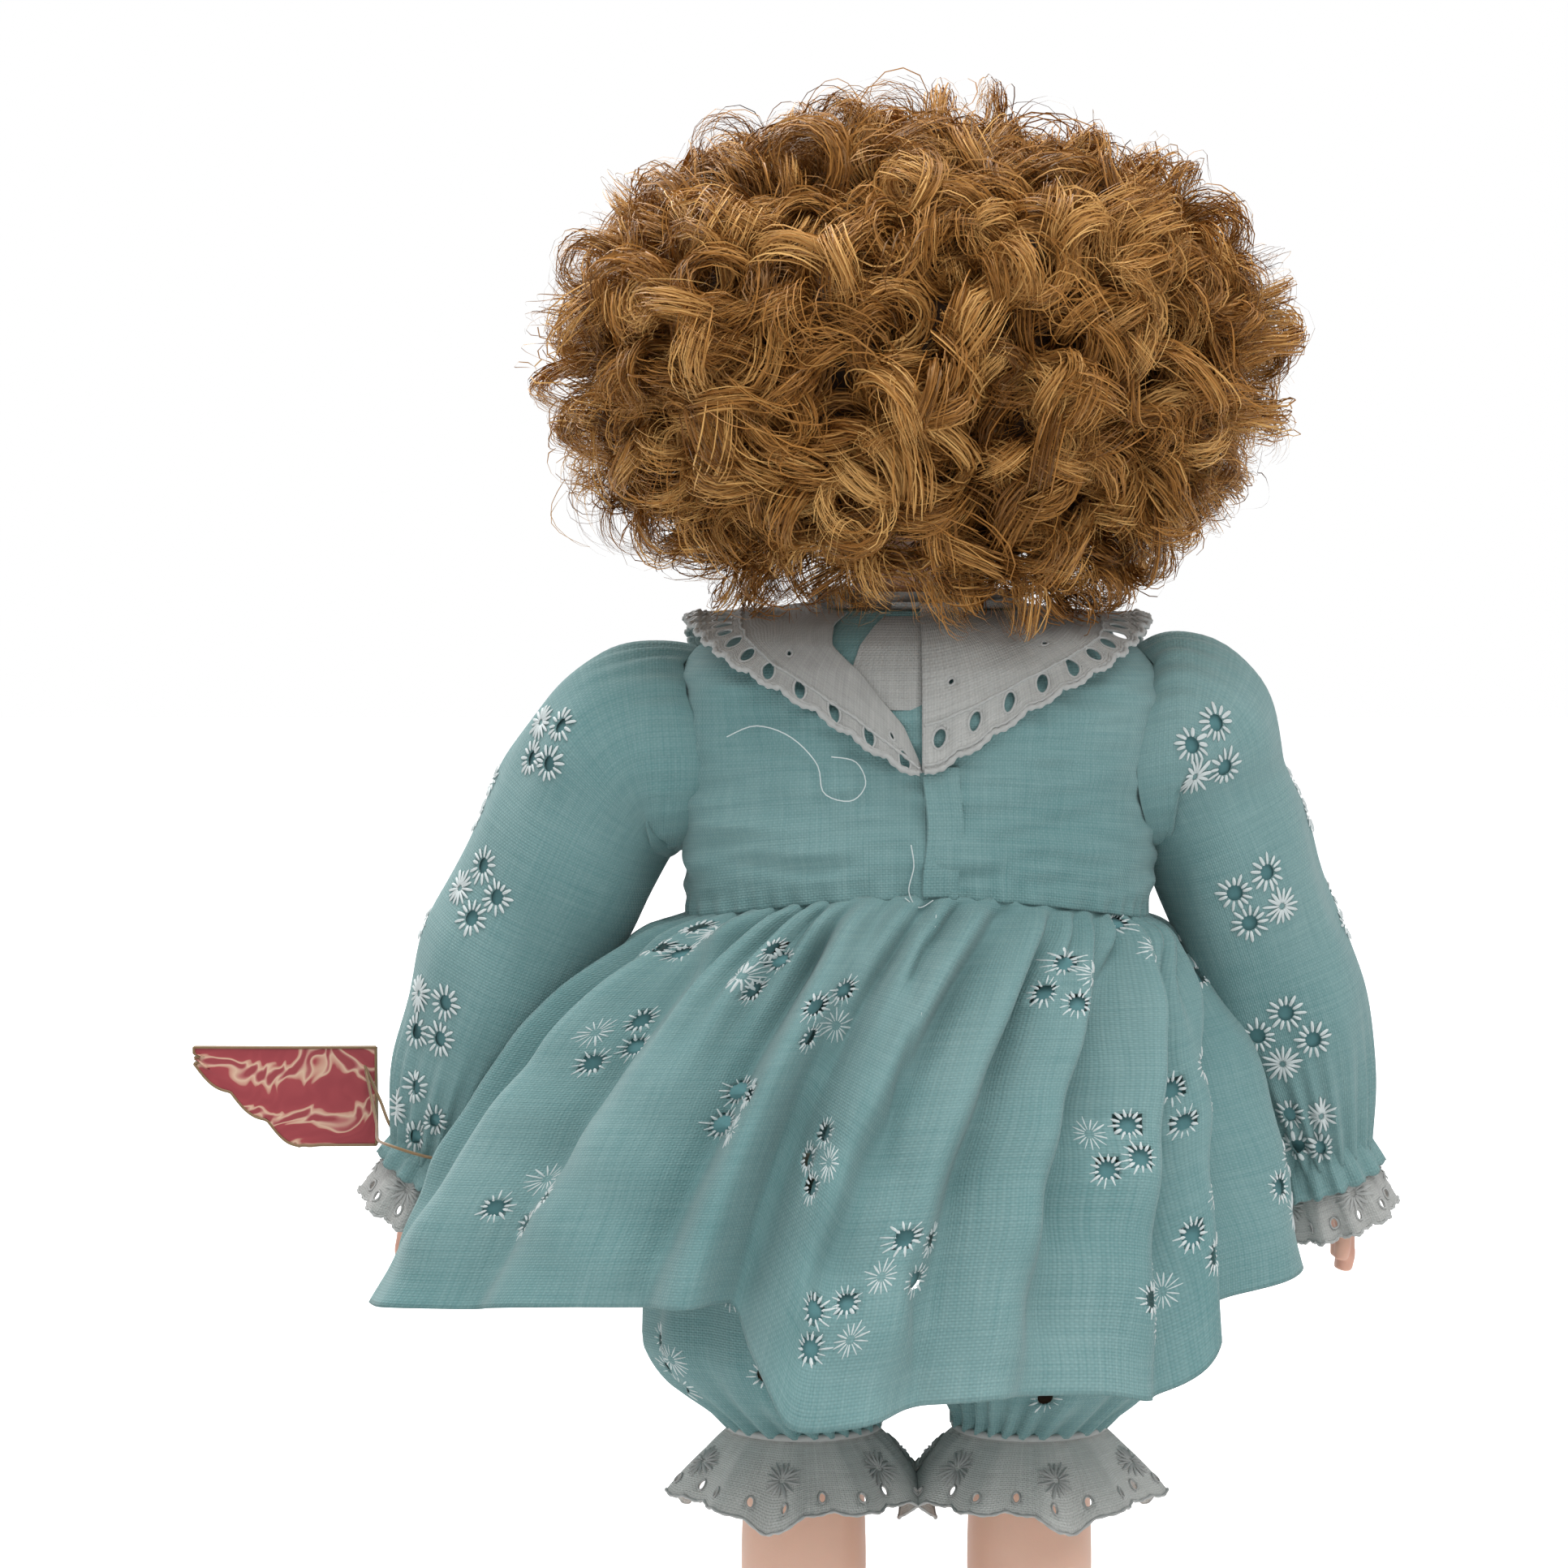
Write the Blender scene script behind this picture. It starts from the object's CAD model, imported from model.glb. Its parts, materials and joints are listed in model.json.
"""Porcelain doll in an aqua eyelet dress: the visible pieces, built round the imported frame."""
import json
import math

import bpy
import numpy as np
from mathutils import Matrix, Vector


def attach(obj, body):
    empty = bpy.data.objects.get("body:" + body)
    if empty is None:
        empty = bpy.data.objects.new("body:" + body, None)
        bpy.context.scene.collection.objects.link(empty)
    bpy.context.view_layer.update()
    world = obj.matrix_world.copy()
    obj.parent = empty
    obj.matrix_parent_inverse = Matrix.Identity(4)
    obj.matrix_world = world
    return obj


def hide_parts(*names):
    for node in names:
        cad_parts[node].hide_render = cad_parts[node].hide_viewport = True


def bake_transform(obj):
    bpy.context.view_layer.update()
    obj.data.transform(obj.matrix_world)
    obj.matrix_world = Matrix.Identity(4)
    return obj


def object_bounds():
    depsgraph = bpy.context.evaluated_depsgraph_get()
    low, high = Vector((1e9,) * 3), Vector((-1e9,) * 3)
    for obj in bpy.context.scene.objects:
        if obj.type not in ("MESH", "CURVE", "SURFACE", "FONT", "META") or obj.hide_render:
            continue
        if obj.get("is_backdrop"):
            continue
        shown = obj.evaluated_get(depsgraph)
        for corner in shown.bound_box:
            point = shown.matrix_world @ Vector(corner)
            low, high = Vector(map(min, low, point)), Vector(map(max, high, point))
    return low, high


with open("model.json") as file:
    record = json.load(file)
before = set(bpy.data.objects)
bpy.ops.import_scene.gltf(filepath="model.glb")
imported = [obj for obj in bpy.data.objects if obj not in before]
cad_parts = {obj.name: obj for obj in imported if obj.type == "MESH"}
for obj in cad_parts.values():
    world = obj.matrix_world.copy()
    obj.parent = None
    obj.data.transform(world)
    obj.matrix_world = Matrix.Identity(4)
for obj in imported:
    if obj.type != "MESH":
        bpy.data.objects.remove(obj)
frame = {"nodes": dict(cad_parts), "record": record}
cad_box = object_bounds()

TURN = 2 * math.pi
NECK_JOINT = next(j for j in frame["record"]["behaviour"]["joints"] if j["name"] == "head_turn")
AXIS_X = NECK_JOINT["pos_m"][0]  # the body's middle line in the frame, in metres


# ---------------------------------------------------------------- making meshes

def placed(points):
    """Points in millimetres about the body's middle line, as metres in the frame."""
    return np.asarray(points, float) / 1000 + (AXIS_X, 0, 0)


def spot(x, y, z):
    return Vector(placed((x, y, z)))


def mesh_of(name, points, faces, maps=None):
    """A mesh object from an array of points and an array of faces with equal corners."""
    mesh = bpy.data.meshes.new(name)
    corners = faces.shape[1]
    mesh.vertices.add(len(points))
    mesh.vertices.foreach_set("co", placed(points).astype(np.float32).ravel())
    mesh.loops.add(faces.size)
    mesh.loops.foreach_set("vertex_index", faces.astype(np.int32).ravel())
    mesh.polygons.add(len(faces))
    mesh.polygons.foreach_set("loop_start", np.arange(0, faces.size, corners, dtype=np.int32))
    mesh.polygons.foreach_set("use_smooth", np.ones(len(faces), bool))
    for title, coords in (maps or {}).items():
        layer = mesh.uv_layers.new(name=title)
        layer.data.foreach_set("uv", np.asarray(coords, np.float32).ravel())
    mesh.update(calc_edges=True)
    mesh.validate()
    piece = bpy.data.objects.new(name, mesh)
    bpy.context.scene.collection.objects.link(piece)
    return piece


def finish_piece(piece, material, body, replaces=()):
    piece.data.materials.append(material)
    if replaces:
        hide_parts(*replaces)
    if body:
        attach(piece, body)
    return piece


def thicken(piece, thickness, offset=-1.0):
    """Gives a sheet its cloth's thickness, in millimetres."""
    solid = piece.modifiers.new("Cloth thickness", "SOLIDIFY")
    solid.thickness = thickness / 1000
    solid.offset = offset
    solid.use_even_offset = False
    return piece


def ripple(points, size, seed, waves=6):
    """Smooth bumps of about -1 to 1, size mm apart, the same for the same seed."""
    rng = np.random.default_rng(seed)
    total = np.zeros(points.shape[:-1])
    for _ in range(waves):
        way = rng.normal(size=3)
        way *= TURN / (np.linalg.norm(way) * size * rng.uniform(0.7, 1.5))
        total += np.sin(points @ way + rng.uniform(0, TURN))
    return total / math.sqrt(waves / 2) / 1.6


def smooth(value, low, high):
    t = np.clip((value - low) / (high - low), 0, 1)
    return t * t * (3 - 2 * t)


def along(keys, t):
    """A smooth curve through keys, evenly spaced from t = 0 to 1."""
    keys = np.asarray(keys, float)
    last = len(keys) - 1
    t = np.asarray(t, float) * last
    i = np.clip(np.floor(t).astype(int), 0, last - 1)
    f = t - i
    if keys.ndim > 1:
        f = f[..., None]
    a, b = keys[np.maximum(i - 1, 0)], keys[i]
    c, d = keys[i + 1], keys[np.minimum(i + 2, last)]
    return b + 0.5 * f * (c - a + f * (2 * a - 5 * b + 4 * c - d + f * (3 * (b - c) + d - a)))


def ring_through(keys, t):
    """A smooth closed curve through keys, by its share of the way round."""
    keys = np.asarray(keys, float)
    closed = np.concatenate([keys[-2:], keys, keys[:3]])
    fine = np.linspace(0, 1, 1601)
    spans = len(closed) - 1
    path = along(closed, (2 + fine * len(keys)) / spans)
    run = np.concatenate([[0], np.cumsum(np.linalg.norm(np.diff(path, axis=0), axis=1))])
    share = np.mod(t, 1.0)
    at = np.interp(share * run[-1], run, fine)
    return along(closed, (2 + at * len(keys)) / spans)


def surface_frame(shape, u, v):
    """Point, unit normal and mm for each unit of u and v on a sheet."""
    step = 1e-3
    u, v = np.atleast_1d(u).astype(float), np.atleast_1d(v).astype(float)
    low, high = np.clip(v - step, 0, 1), np.clip(v + step, 0, 1)
    across = (shape(u + step, v) - shape(u - step, v)) / (2 * step)
    down = (shape(u, high) - shape(u, low)) / (high - low)[:, None]
    normal = np.cross(across, down)
    normal /= np.linalg.norm(normal, axis=1)[:, None] + 1e-12
    return shape(u, v), normal, np.linalg.norm(across, axis=1), np.linalg.norm(down, axis=1)


def cloth(name, shape, cells, size, closed=False, holes=(), flip=False):
    """A woven sheet. shape(u, v) gives its points, size is its flat width and length in mm,
    and holes are (u, v, half width, half length) in share and mm."""
    wide, long = cells
    columns = wide if closed else wide + 1
    u, v = np.meshgrid(np.arange(columns) / wide, np.linspace(0, 1, long + 1), indexing="ij")
    cut = np.zeros(u.shape, bool)
    rings = []
    for hole_u, hole_v, half_u, half_v in holes:
        _, _, across, down = surface_frame(shape, hole_u, hole_v)
        gap = u - hole_u
        if closed:
            gap = (gap + 0.5) % 1 - 0.5
        x, y = gap * across[0] / half_u, (v - hole_v) * down[0] / half_v
        reach = np.hypot(x, y)
        cut |= reach < 1
        rings.append((reach, gap, hole_u, hole_v))
    i, j = np.meshgrid(np.arange(wide), np.arange(long), indexing="ij")
    i, j = i.ravel(), j.ravel()
    corner_i = np.stack([i, i + 1, i + 1, i], 1)
    corner_j = np.stack([j, j, j + 1, j + 1], 1)
    held = corner_i % columns
    gone = cut[held, corner_j].any(axis=1)
    rim = np.zeros(u.shape, bool)
    rim[held[gone], corner_j[gone]] = True
    rim &= ~cut
    if rings:
        reaches = np.stack([r[0] for r in rings])
        nearest = reaches.argmin(axis=0)
        for k, (reach, gap, hole_u, hole_v) in enumerate(rings):
            mine = rim & (nearest == k) & (reach < 3)
            u[mine] = u[mine] - gap[mine] * (1 - 1 / reach[mine])
            v[mine] = hole_v + (v[mine] - hole_v) / reach[mine]
    keep = ~gone
    corner_i, corner_j, held = corner_i[keep], corner_j[keep], held[keep]
    ids = held * (long + 1) + corner_j
    points = shape(u.ravel(), v.ravel())
    turns = (corner_i >= columns).astype(float)
    flat_u = (u.ravel()[ids] + turns) * size[0]
    flat_v = v.ravel()[ids] * size[1]
    used, index = np.unique(ids, return_inverse=True)
    faces = index.reshape(ids.shape)
    weave = np.stack([flat_u, flat_v], 2) / 1000
    if flip:
        faces, weave = faces[:, ::-1], weave[:, ::-1]
    return mesh_of(name, points[used], faces, {"Weave": weave})


def tube_set(name, paths, radii, sides=5):
    """Thin threads: one closed tube for each path of mm points, with a radius at each point."""
    points, faces = [], []
    start = 0
    angles = np.arange(sides) * TURN / sides
    for path, radius in zip(paths, radii):
        path = np.asarray(path, float)
        radius = np.broadcast_to(radius, len(path))
        way = np.gradient(path, axis=0)
        way /= np.linalg.norm(way, axis=1)[:, None] + 1e-12
        side = np.cross(way, (0.31, 0.17, 0.93))
        side /= np.linalg.norm(side, axis=1)[:, None] + 1e-12
        other = np.cross(way, side)
        ring = (
            path[:, None]
            + radius[:, None, None] * np.cos(angles)[None, :, None] * side[:, None]
            + radius[:, None, None] * np.sin(angles)[None, :, None] * other[:, None]
        )
        points.append(ring.reshape(-1, 3))
        n = len(path)
        i, j = np.meshgrid(np.arange(n - 1), np.arange(sides), indexing="ij")
        i, j = i.ravel(), j.ravel()
        k = (j + 1) % sides
        quad = np.stack([i * sides + j, i * sides + k, (i + 1) * sides + k, (i + 1) * sides + j], 1)
        faces.append(quad + start)
        start += n * sides
    return mesh_of(name, np.concatenate(points), np.concatenate(faces))


# ---------------------------------------------------------------- finishes

def new_material(name):
    material = bpy.data.materials.new(name)
    material.use_nodes = True
    nodes = material.node_tree.nodes
    shader = nodes["Principled BSDF"]
    return material, nodes, material.node_tree.links, shader


def colour(red, green, blue):
    """A colour given as it shows on a screen, 0 to 255, as linear light."""
    return tuple((c / 255 / 12.92) if c < 10.3 else ((c / 255 + 0.055) / 1.055) ** 2.4
                 for c in (red, green, blue)) + (1.0,)


def socketed_group(name, takes, gives):
    group = bpy.data.node_groups.new(name, "ShaderNodeTree")
    for title, kind, value in takes:
        socket = group.interface.new_socket(name=title, in_out="INPUT", socket_type=kind)
        if value is not None:
            socket.default_value = value
    for title, kind in gives:
        group.interface.new_socket(name=title, in_out="OUTPUT", socket_type=kind)
    return group, group.nodes.new("NodeGroupInput"), group.nodes.new("NodeGroupOutput")


def math_node(nodes, links, operation, *values):
    node = nodes.new("ShaderNodeMath")
    node.operation = operation
    for socket, value in zip(node.inputs, values):
        if isinstance(value, (int, float)):
            socket.default_value = value
        else:
            links.new(value, socket)
    return node.outputs[0]


def weave_group():
    """Plain weave: crossing threads with slubs, from the sheet's own flat measure."""
    group, takes, gives = socketed_group(
        "Plain weave",
        [("Flat place", "NodeSocketVector", None), ("Threads per metre", "NodeSocketFloat", 1500.0),
         ("Slub", "NodeSocketFloat", 0.5)],
        [("Height", "NodeSocketFloat"), ("Shade", "NodeSocketFloat")])
    nodes, links = group.nodes, group.links
    split = nodes.new("ShaderNodeSeparateXYZ")
    links.new(takes.outputs["Flat place"], split.inputs[0])
    rounds = math_node(nodes, links, "MULTIPLY", takes.outputs["Threads per metre"], TURN / 2)
    over = math_node(nodes, links, "SINE", math_node(nodes, links, "MULTIPLY", split.outputs[0], rounds))
    under = math_node(nodes, links, "SINE", math_node(nodes, links, "MULTIPLY", split.outputs[1], rounds))
    check = math_node(nodes, links, "MULTIPLY", over, under)
    over_height = math_node(nodes, links, "ABSOLUTE", over)
    under_height = math_node(nodes, links, "ABSOLUTE", under)
    threads = math_node(nodes, links, "ADD", over_height, under_height)
    height = math_node(nodes, links, "ADD", math_node(nodes, links, "MULTIPLY", threads, 0.5),
                       math_node(nodes, links, "MULTIPLY", check, 0.3))
    slub_mask = None
    for scale in ((60.0, 1400.0, 1.0), (1400.0, 60.0, 1.0)):
        stretch = nodes.new("ShaderNodeVectorMath")
        stretch.operation = "MULTIPLY"
        links.new(takes.outputs["Flat place"], stretch.inputs[0])
        stretch.inputs[1].default_value = scale
        noise = nodes.new("ShaderNodeTexNoise")
        noise.inputs["Scale"].default_value = 1.0
        noise.inputs["Detail"].default_value = 1.0
        links.new(stretch.outputs[0], noise.inputs["Vector"])
        part = math_node(nodes, links, "SUBTRACT", noise.outputs["Fac"], 0.5)
        slub_mask = part if slub_mask is None else math_node(nodes, links, "ADD", slub_mask, part)
    slubs = math_node(nodes, links, "MULTIPLY", slub_mask, takes.outputs["Slub"])
    links.new(math_node(nodes, links, "ADD", height, slubs), gives.inputs["Height"])
    links.new(math_node(nodes, links, "ADD", math_node(nodes, links, "MULTIPLY", height, 0.16), slubs),
              gives.inputs["Shade"])
    return group


def wear_group():
    """Slow patches of lighter and darker cloth or skin, from the object's own place."""
    group, takes, gives = socketed_group(
        "Soft patches",
        [("Place", "NodeSocketVector", None), ("Scale", "NodeSocketFloat", 20.0),
         ("Detail", "NodeSocketFloat", 4.0)],
        [("Patch", "NodeSocketFloat")])
    noise = group.nodes.new("ShaderNodeTexNoise")
    group.links.new(takes.outputs["Place"], noise.inputs["Vector"])
    group.links.new(takes.outputs["Scale"], noise.inputs["Scale"])
    group.links.new(takes.outputs["Detail"], noise.inputs["Detail"])
    centred = math_node(group.nodes, group.links, "SUBTRACT", noise.outputs["Fac"], 0.5)
    group.links.new(centred, gives.inputs["Patch"])
    return group


WEAVE = weave_group()
PATCHES = wear_group()


def place_group(nodes, group):
    node = nodes.new("ShaderNodeGroup")
    node.node_tree = group
    return node


def cotton(name, dark, light, threads, slub, rough, sheen, bump):
    """Woven cotton: colour follows the threads, the slubs and slow patches."""
    material, nodes, links, shader = new_material(name)
    flat = nodes.new("ShaderNodeUVMap")
    flat.uv_map = "Weave"
    where = nodes.new("ShaderNodeTexCoord")
    weave = place_group(nodes, WEAVE)
    weave.inputs["Threads per metre"].default_value = threads
    weave.inputs["Slub"].default_value = slub
    links.new(flat.outputs[0], weave.inputs["Flat place"])
    patch = place_group(nodes, PATCHES)
    patch.inputs["Scale"].default_value = 16.0
    links.new(where.outputs["Object"], patch.inputs["Place"])
    shade = math_node(nodes, links, "ADD", weave.outputs["Shade"],
                      math_node(nodes, links, "MULTIPLY", patch.outputs["Patch"], 0.7))
    ramp = nodes.new("ShaderNodeValToRGB")
    ramp.color_ramp.elements[0].position = 0.0
    ramp.color_ramp.elements[0].color = dark
    ramp.color_ramp.elements[1].position = 1.0
    ramp.color_ramp.elements[1].color = light
    links.new(math_node(nodes, links, "ADD", shade, 0.42), ramp.inputs[0])
    links.new(ramp.outputs[0], shader.inputs["Base Color"])
    raised = nodes.new("ShaderNodeBump")
    raised.inputs["Strength"].default_value = bump
    raised.inputs["Distance"].default_value = 0.0003
    links.new(weave.outputs["Height"], raised.inputs["Height"])
    links.new(raised.outputs[0], shader.inputs["Normal"])
    shader.inputs["Roughness"].default_value = rough
    shader.inputs["Sheen Weight"].default_value = sheen
    shader.inputs["Sheen Roughness"].default_value = 0.45
    shader.inputs["Specular IOR Level"].default_value = 0.25
    return material


def thread_finish(name, tone, rough=0.5):
    """Twisted embroidery or sewing thread."""
    material, nodes, links, shader = new_material(name)
    where = nodes.new("ShaderNodeTexCoord")
    patch = place_group(nodes, PATCHES)
    patch.inputs["Scale"].default_value = 900.0
    links.new(where.outputs["Object"], patch.inputs["Place"])
    ramp = nodes.new("ShaderNodeValToRGB")
    ramp.color_ramp.elements[0].color = tuple(c * 0.72 for c in tone[:3]) + (1.0,)
    ramp.color_ramp.elements[1].color = tone
    links.new(math_node(nodes, links, "ADD", patch.outputs["Patch"], 0.62), ramp.inputs[0])
    links.new(ramp.outputs[0], shader.inputs["Base Color"])
    raised = nodes.new("ShaderNodeBump")
    raised.inputs["Strength"].default_value = 0.4
    raised.inputs["Distance"].default_value = 0.0001
    links.new(patch.outputs["Patch"], raised.inputs["Height"])
    links.new(raised.outputs[0], shader.inputs["Normal"])
    shader.inputs["Roughness"].default_value = rough
    shader.inputs["Sheen Weight"].default_value = 0.3
    return material


def curl_finish():
    """Mohair-like wig fibre: each strand has its own tone, lighter towards its tip."""
    material, nodes, links, shader = new_material("wig_fibre")
    strand = nodes.new("ShaderNodeUVMap")
    strand.uv_map = "Strand"
    split = nodes.new("ShaderNodeSeparateXYZ")
    links.new(strand.outputs[0], split.inputs[0])
    ramp = nodes.new("ShaderNodeValToRGB")
    steps = ((0.0, colour(46, 25, 8)), (0.3, colour(106, 65, 26)),
             (0.62, colour(164, 112, 54)), (1.0, colour(216, 170, 104)))
    ramp.color_ramp.elements[0].position, ramp.color_ramp.elements[0].color = steps[0]
    ramp.color_ramp.elements[1].position, ramp.color_ramp.elements[1].color = steps[3]
    for position, tone in steps[1:3]:
        ramp.color_ramp.elements.new(position).color = tone
    lift = math_node(nodes, links, "MULTIPLY", split.outputs[1], 0.22)
    links.new(math_node(nodes, links, "ADD", split.outputs[0], lift), ramp.inputs[0])
    links.new(ramp.outputs[0], shader.inputs["Base Color"])
    rough = nodes.new("ShaderNodeMapRange")
    rough.inputs["To Min"].default_value = 0.3
    rough.inputs["To Max"].default_value = 0.5
    links.new(split.outputs[0], rough.inputs["Value"])
    links.new(rough.outputs[0], shader.inputs["Roughness"])
    shader.inputs["Specular IOR Level"].default_value = 0.45
    shader.inputs["Specular Tint"].default_value = (1.0, 0.74, 0.42, 1)
    return material


AQUA = cotton("aqua_cotton", colour(60, 116, 118), colour(146, 174, 174), 1700.0, 0.3, 0.85, 0.2, 0.5)
LACE = cotton("white_eyelet_cotton", colour(128, 130, 128), colour(196, 197, 194), 1900.0, 0.4, 0.8, 0.2, 0.5)
BRIGHT_LACE = cotton("white_ruffle_cotton", colour(164, 166, 163), colour(226, 227, 223),
                     1900.0, 0.4, 0.8, 0.2, 0.5)
WHITE_THREAD = thread_finish("white_embroidery_thread", colour(212, 222, 222))
CURLS = curl_finish()


# ---------------------------------------------------------------- bodice

WAIST_Z, NECK_Z = 222.0, 288.0
BODICE_LEVELS = np.array([222, 229, 240, 252, 262, 270, 276, 281, 285, 288], float)
BODICE_HALF_WIDE = np.array([48.5, 49.5, 50.5, 51.5, 52.5, 53, 51, 44.5, 33, 20.5])
BODICE_HALF_DEEP = np.array([34, 34.5, 35.5, 36, 36, 34.5, 32, 28.5, 24, 19.5])


def waist_level(q):
    return WAIST_Z + 7.0 * np.maximum(0, np.sin(q)) ** 2


def bodice_half(z):
    a = np.interp(z, BODICE_LEVELS, BODICE_HALF_WIDE)
    b = np.interp(z, BODICE_LEVELS, BODICE_HALF_DEEP)
    return a, b


def bodice_shape(u, v):
    q = TURN * np.asarray(u)
    z = waist_level(q) + (NECK_Z - waist_level(q)) * v
    a, b = 0, 0
    for shift in (-3, -1.5, 0, 1.5, 3):
        part_a, part_b = bodice_half(z + shift)
        a, b = a + part_a / 5, b + part_b / 5
    squarer = 2.25
    c, s = np.cos(q), np.sin(q)
    reach = (np.abs(c) ** squarer + np.abs(s) ** squarer) ** (-1 / squarer)
    points = np.stack([a * c * reach, b * s * reach, z], -1)
    out = np.stack([c, s * 1.2, 0 * q], -1)
    soft = ripple(points * (1, 1, 2.2), 34, 5) * 0.9 + ripple(points * (1, 1, 3), 15, 8) * 0.35
    fade = smooth(v, 0.0, 0.12) * (1 - smooth(v, 0.75, 0.95))
    pucker = 0.5 * np.sin(46 * q + 2 * np.sin(7 * q)) * (1 - smooth(v, 0, 0.1))
    return points + out * (soft * fade + pucker)[..., None]


def bodice():
    piece = cloth("bodice_cloth", bodice_shape, (300, 84), (330, 66), closed=True)
    thicken(piece, 0.6)
    finish_piece(piece, AQUA, "torso", ["bodice"])
    return piece


# ---------------------------------------------------------------- skirt

HEM = [
    (91, -12, 141), (116, 10, 142), (112, 27, 143), (98, 40, 145), (80, 50, 147), (62, 58, 148.5),
    (49, 64, 149), (42, 57, 149), (38, 52, 147), (34, 60, 138), (27, 71, 126.5), (14, 73, 127),
    (2, 69, 130), (-10, 72, 132), (-22, 71, 133), (-34, 66, 132), (-46, 66, 131), (-56, 60, 133),
    (-59, 52, 140), (-56, 44, 145), (-64, 38, 147), (-76, 30, 149), (-79, 14, 151), (-74, -2, 150),
    (-77, -18, 149), (-68, -34, 146), (-60, -42, 143), (-52, -56, 140), (-38, -60, 137),
    (-28, -57, 134), (-16, -68, 132), (-3, -70, 131), (8, -64, 131), (20, -66, 132), (34, -66, 134),
    (44, -57, 137), (56, -56, 139), (70, -52, 141), (78, -42, 142), (85, -32, 142),
]


DEEP_FOLDS = (  # share of the way round, and depth in mm
    (0.2, 6.5), (0.235, 3.0), (0.39, 3.5), (0.445, 5.0), (0.13, 4.0), (0.06, 3.5), (0.72, 4.5), (0.83, 4.0))


def skirt_seam_at(v):
    """The skirt's back seam, which swings to the right on its way down."""
    return 0.257 + 0.09 * np.asarray(v, float) ** 0.9


def skirt_shape(u, v):
    u, v = np.asarray(u, float), np.asarray(v, float)
    q = TURN * u
    waist = np.stack([48.8 * np.cos(q), 34.3 * np.sin(q), waist_level(q) + 0.6], -1)
    hem = ring_through(HEM, u)
    reach = hem - waist
    bend = waist + reach * (0.64, 0.7, 0.33)
    t = v[..., None]
    points = waist * (1 - t) ** 2 + 2 * bend * t * (1 - t) + hem * t * t
    out = np.stack([np.cos(q), np.sin(q), 0.15 + 0 * q], -1)
    pleats = np.sin(41 * q + 2.2 * np.sin(5 * q) + 1.1 * np.sin(11 * q))
    folds = np.sin(19 * q + 1.5 * np.sin(3 * q) + 1.2 * v)
    rise = smooth(v, 0, 0.06)
    gather = (2.5 + 1.1 * np.sin(7 * q + 1)) * pleats * rise * (1 - smooth(v, 0.1, 0.6))
    drape = 4.6 * folds * smooth(v, 0.05, 0.3) * (1 - 0.6 * smooth(v, 0.6, 1))
    for place, depth in DEEP_FOLDS:
        drift = u - place - 0.006 * np.sin(4 * v)
        drape = drape - depth * np.exp(-(drift / 0.0095) ** 2) * smooth(v, 0.0, 0.25)
    soft = ripple(points, 26, 21) * 0.8 * smooth(v, 0.15, 0.6)
    puff = 2.2 * smooth(v, 0, 0.1) * (1 - smooth(v, 0.3, 0.8))
    seam = 1.3 * np.exp(-((u - skirt_seam_at(v)) / 0.0038) ** 2) * smooth(v, 0, 0.05)
    return points + out * (gather + drape + soft + puff - seam)[..., None]


def skirt(holes):
    piece = cloth("skirt_cloth", skirt_shape, (460, 92), (560, 110), closed=True, holes=holes, flip=True)
    thicken(piece, 0.4, 1.0)
    finish_piece(piece, AQUA, "torso", ["skirt"])
    return piece


# ---------------------------------------------------------------- sleeves

LEFT_ARM = {
    "path": [(50, -3, 258), (60.5, -3, 256), (69.5, -4.5, 246), (78.5, -7, 228), (87.5, -10, 208),
             (96.5, -13, 187), (102.5, -15.4, 168)],
    "girth": [22.5, 22.3, 20.4, 19.6, 18.8, 16.3, 10.3],
}
RIGHT_ARM = {
    "path": [(50, -3, 259), (56.5, -3, 258.5), (61.5, -4.5, 248), (69, -7, 230), (75.5, -10, 211),
             (82, -13, 189), (88, -14.8, 168)],
    "girth": [22.5, 22.3, 18.3, 17.6, 18.0, 16.2, 10.3],
}


def sleeve_shape_for(arm, side):
    path, girth = arm["path"], arm["girth"]

    def shape(u, v):
        u, v = np.asarray(u, float), np.clip(np.asarray(v, float), 0, 1)
        turn = TURN * u
        middle = along(path, v)
        ahead = along(path, np.minimum(v + 0.01, 1)) - along(path, np.maximum(v - 0.01, 0))
        ahead /= np.linalg.norm(ahead, axis=-1)[..., None]
        blend = smooth(v, 0.0, 0.3)[..., None]
        ahead = (1 - blend) * np.array([1.0, 0, 0]) + blend * ahead
        ahead /= np.linalg.norm(ahead, axis=-1)[..., None]
        first = np.array([0, 1.0, 0]) - ahead * ahead[..., 1:2]
        first /= np.linalg.norm(first, axis=-1)[..., None]
        second = np.cross(ahead, first)
        size = along(girth, v)
        pleats = np.sin(27 * turn + 1.7 * np.sin(4 * turn))
        cap = 0.9 * pleats * (1 - smooth(v, 0.03, 0.22)) * (0.35 + 0.65 * np.maximum(0, np.sin(turn)))
        wrist = 0.9 * np.sin(23 * turn + np.sin(5 * turn)) * smooth(v, 0.72, 0.97)
        out = first * np.cos(turn)[..., None] + second * np.sin(turn)[..., None]
        rough_points = middle + out * size[..., None]
        soft = ripple(rough_points, 30, 31) * 1.1 + ripple(rough_points * (1, 1, 0.6), 13, 33) * 0.35
        soft *= smooth(v, 0.05, 0.25) * (1 - smooth(v, 0.8, 1))
        points = middle + out * (size + cap + wrist + soft)[..., None]
        seam_y = -3 + 22.3 * np.cos(turn)
        seam_z = 257.5 + 21.5 * np.sin(turn)
        a, b = bodice_half(seam_z)
        seam_x = a * (1 - np.minimum(np.abs(seam_y / b), 0.98) ** 2.25) ** (1 / 2.25) - 0.6
        seam = np.stack([seam_x, seam_y, seam_z], -1)
        hold = (1 - smooth(v, 0.0, 0.13))[..., None]
        points = points * (1 - hold) + seam * hold
        return points * (side, 1, 1)

    return shape


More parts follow.
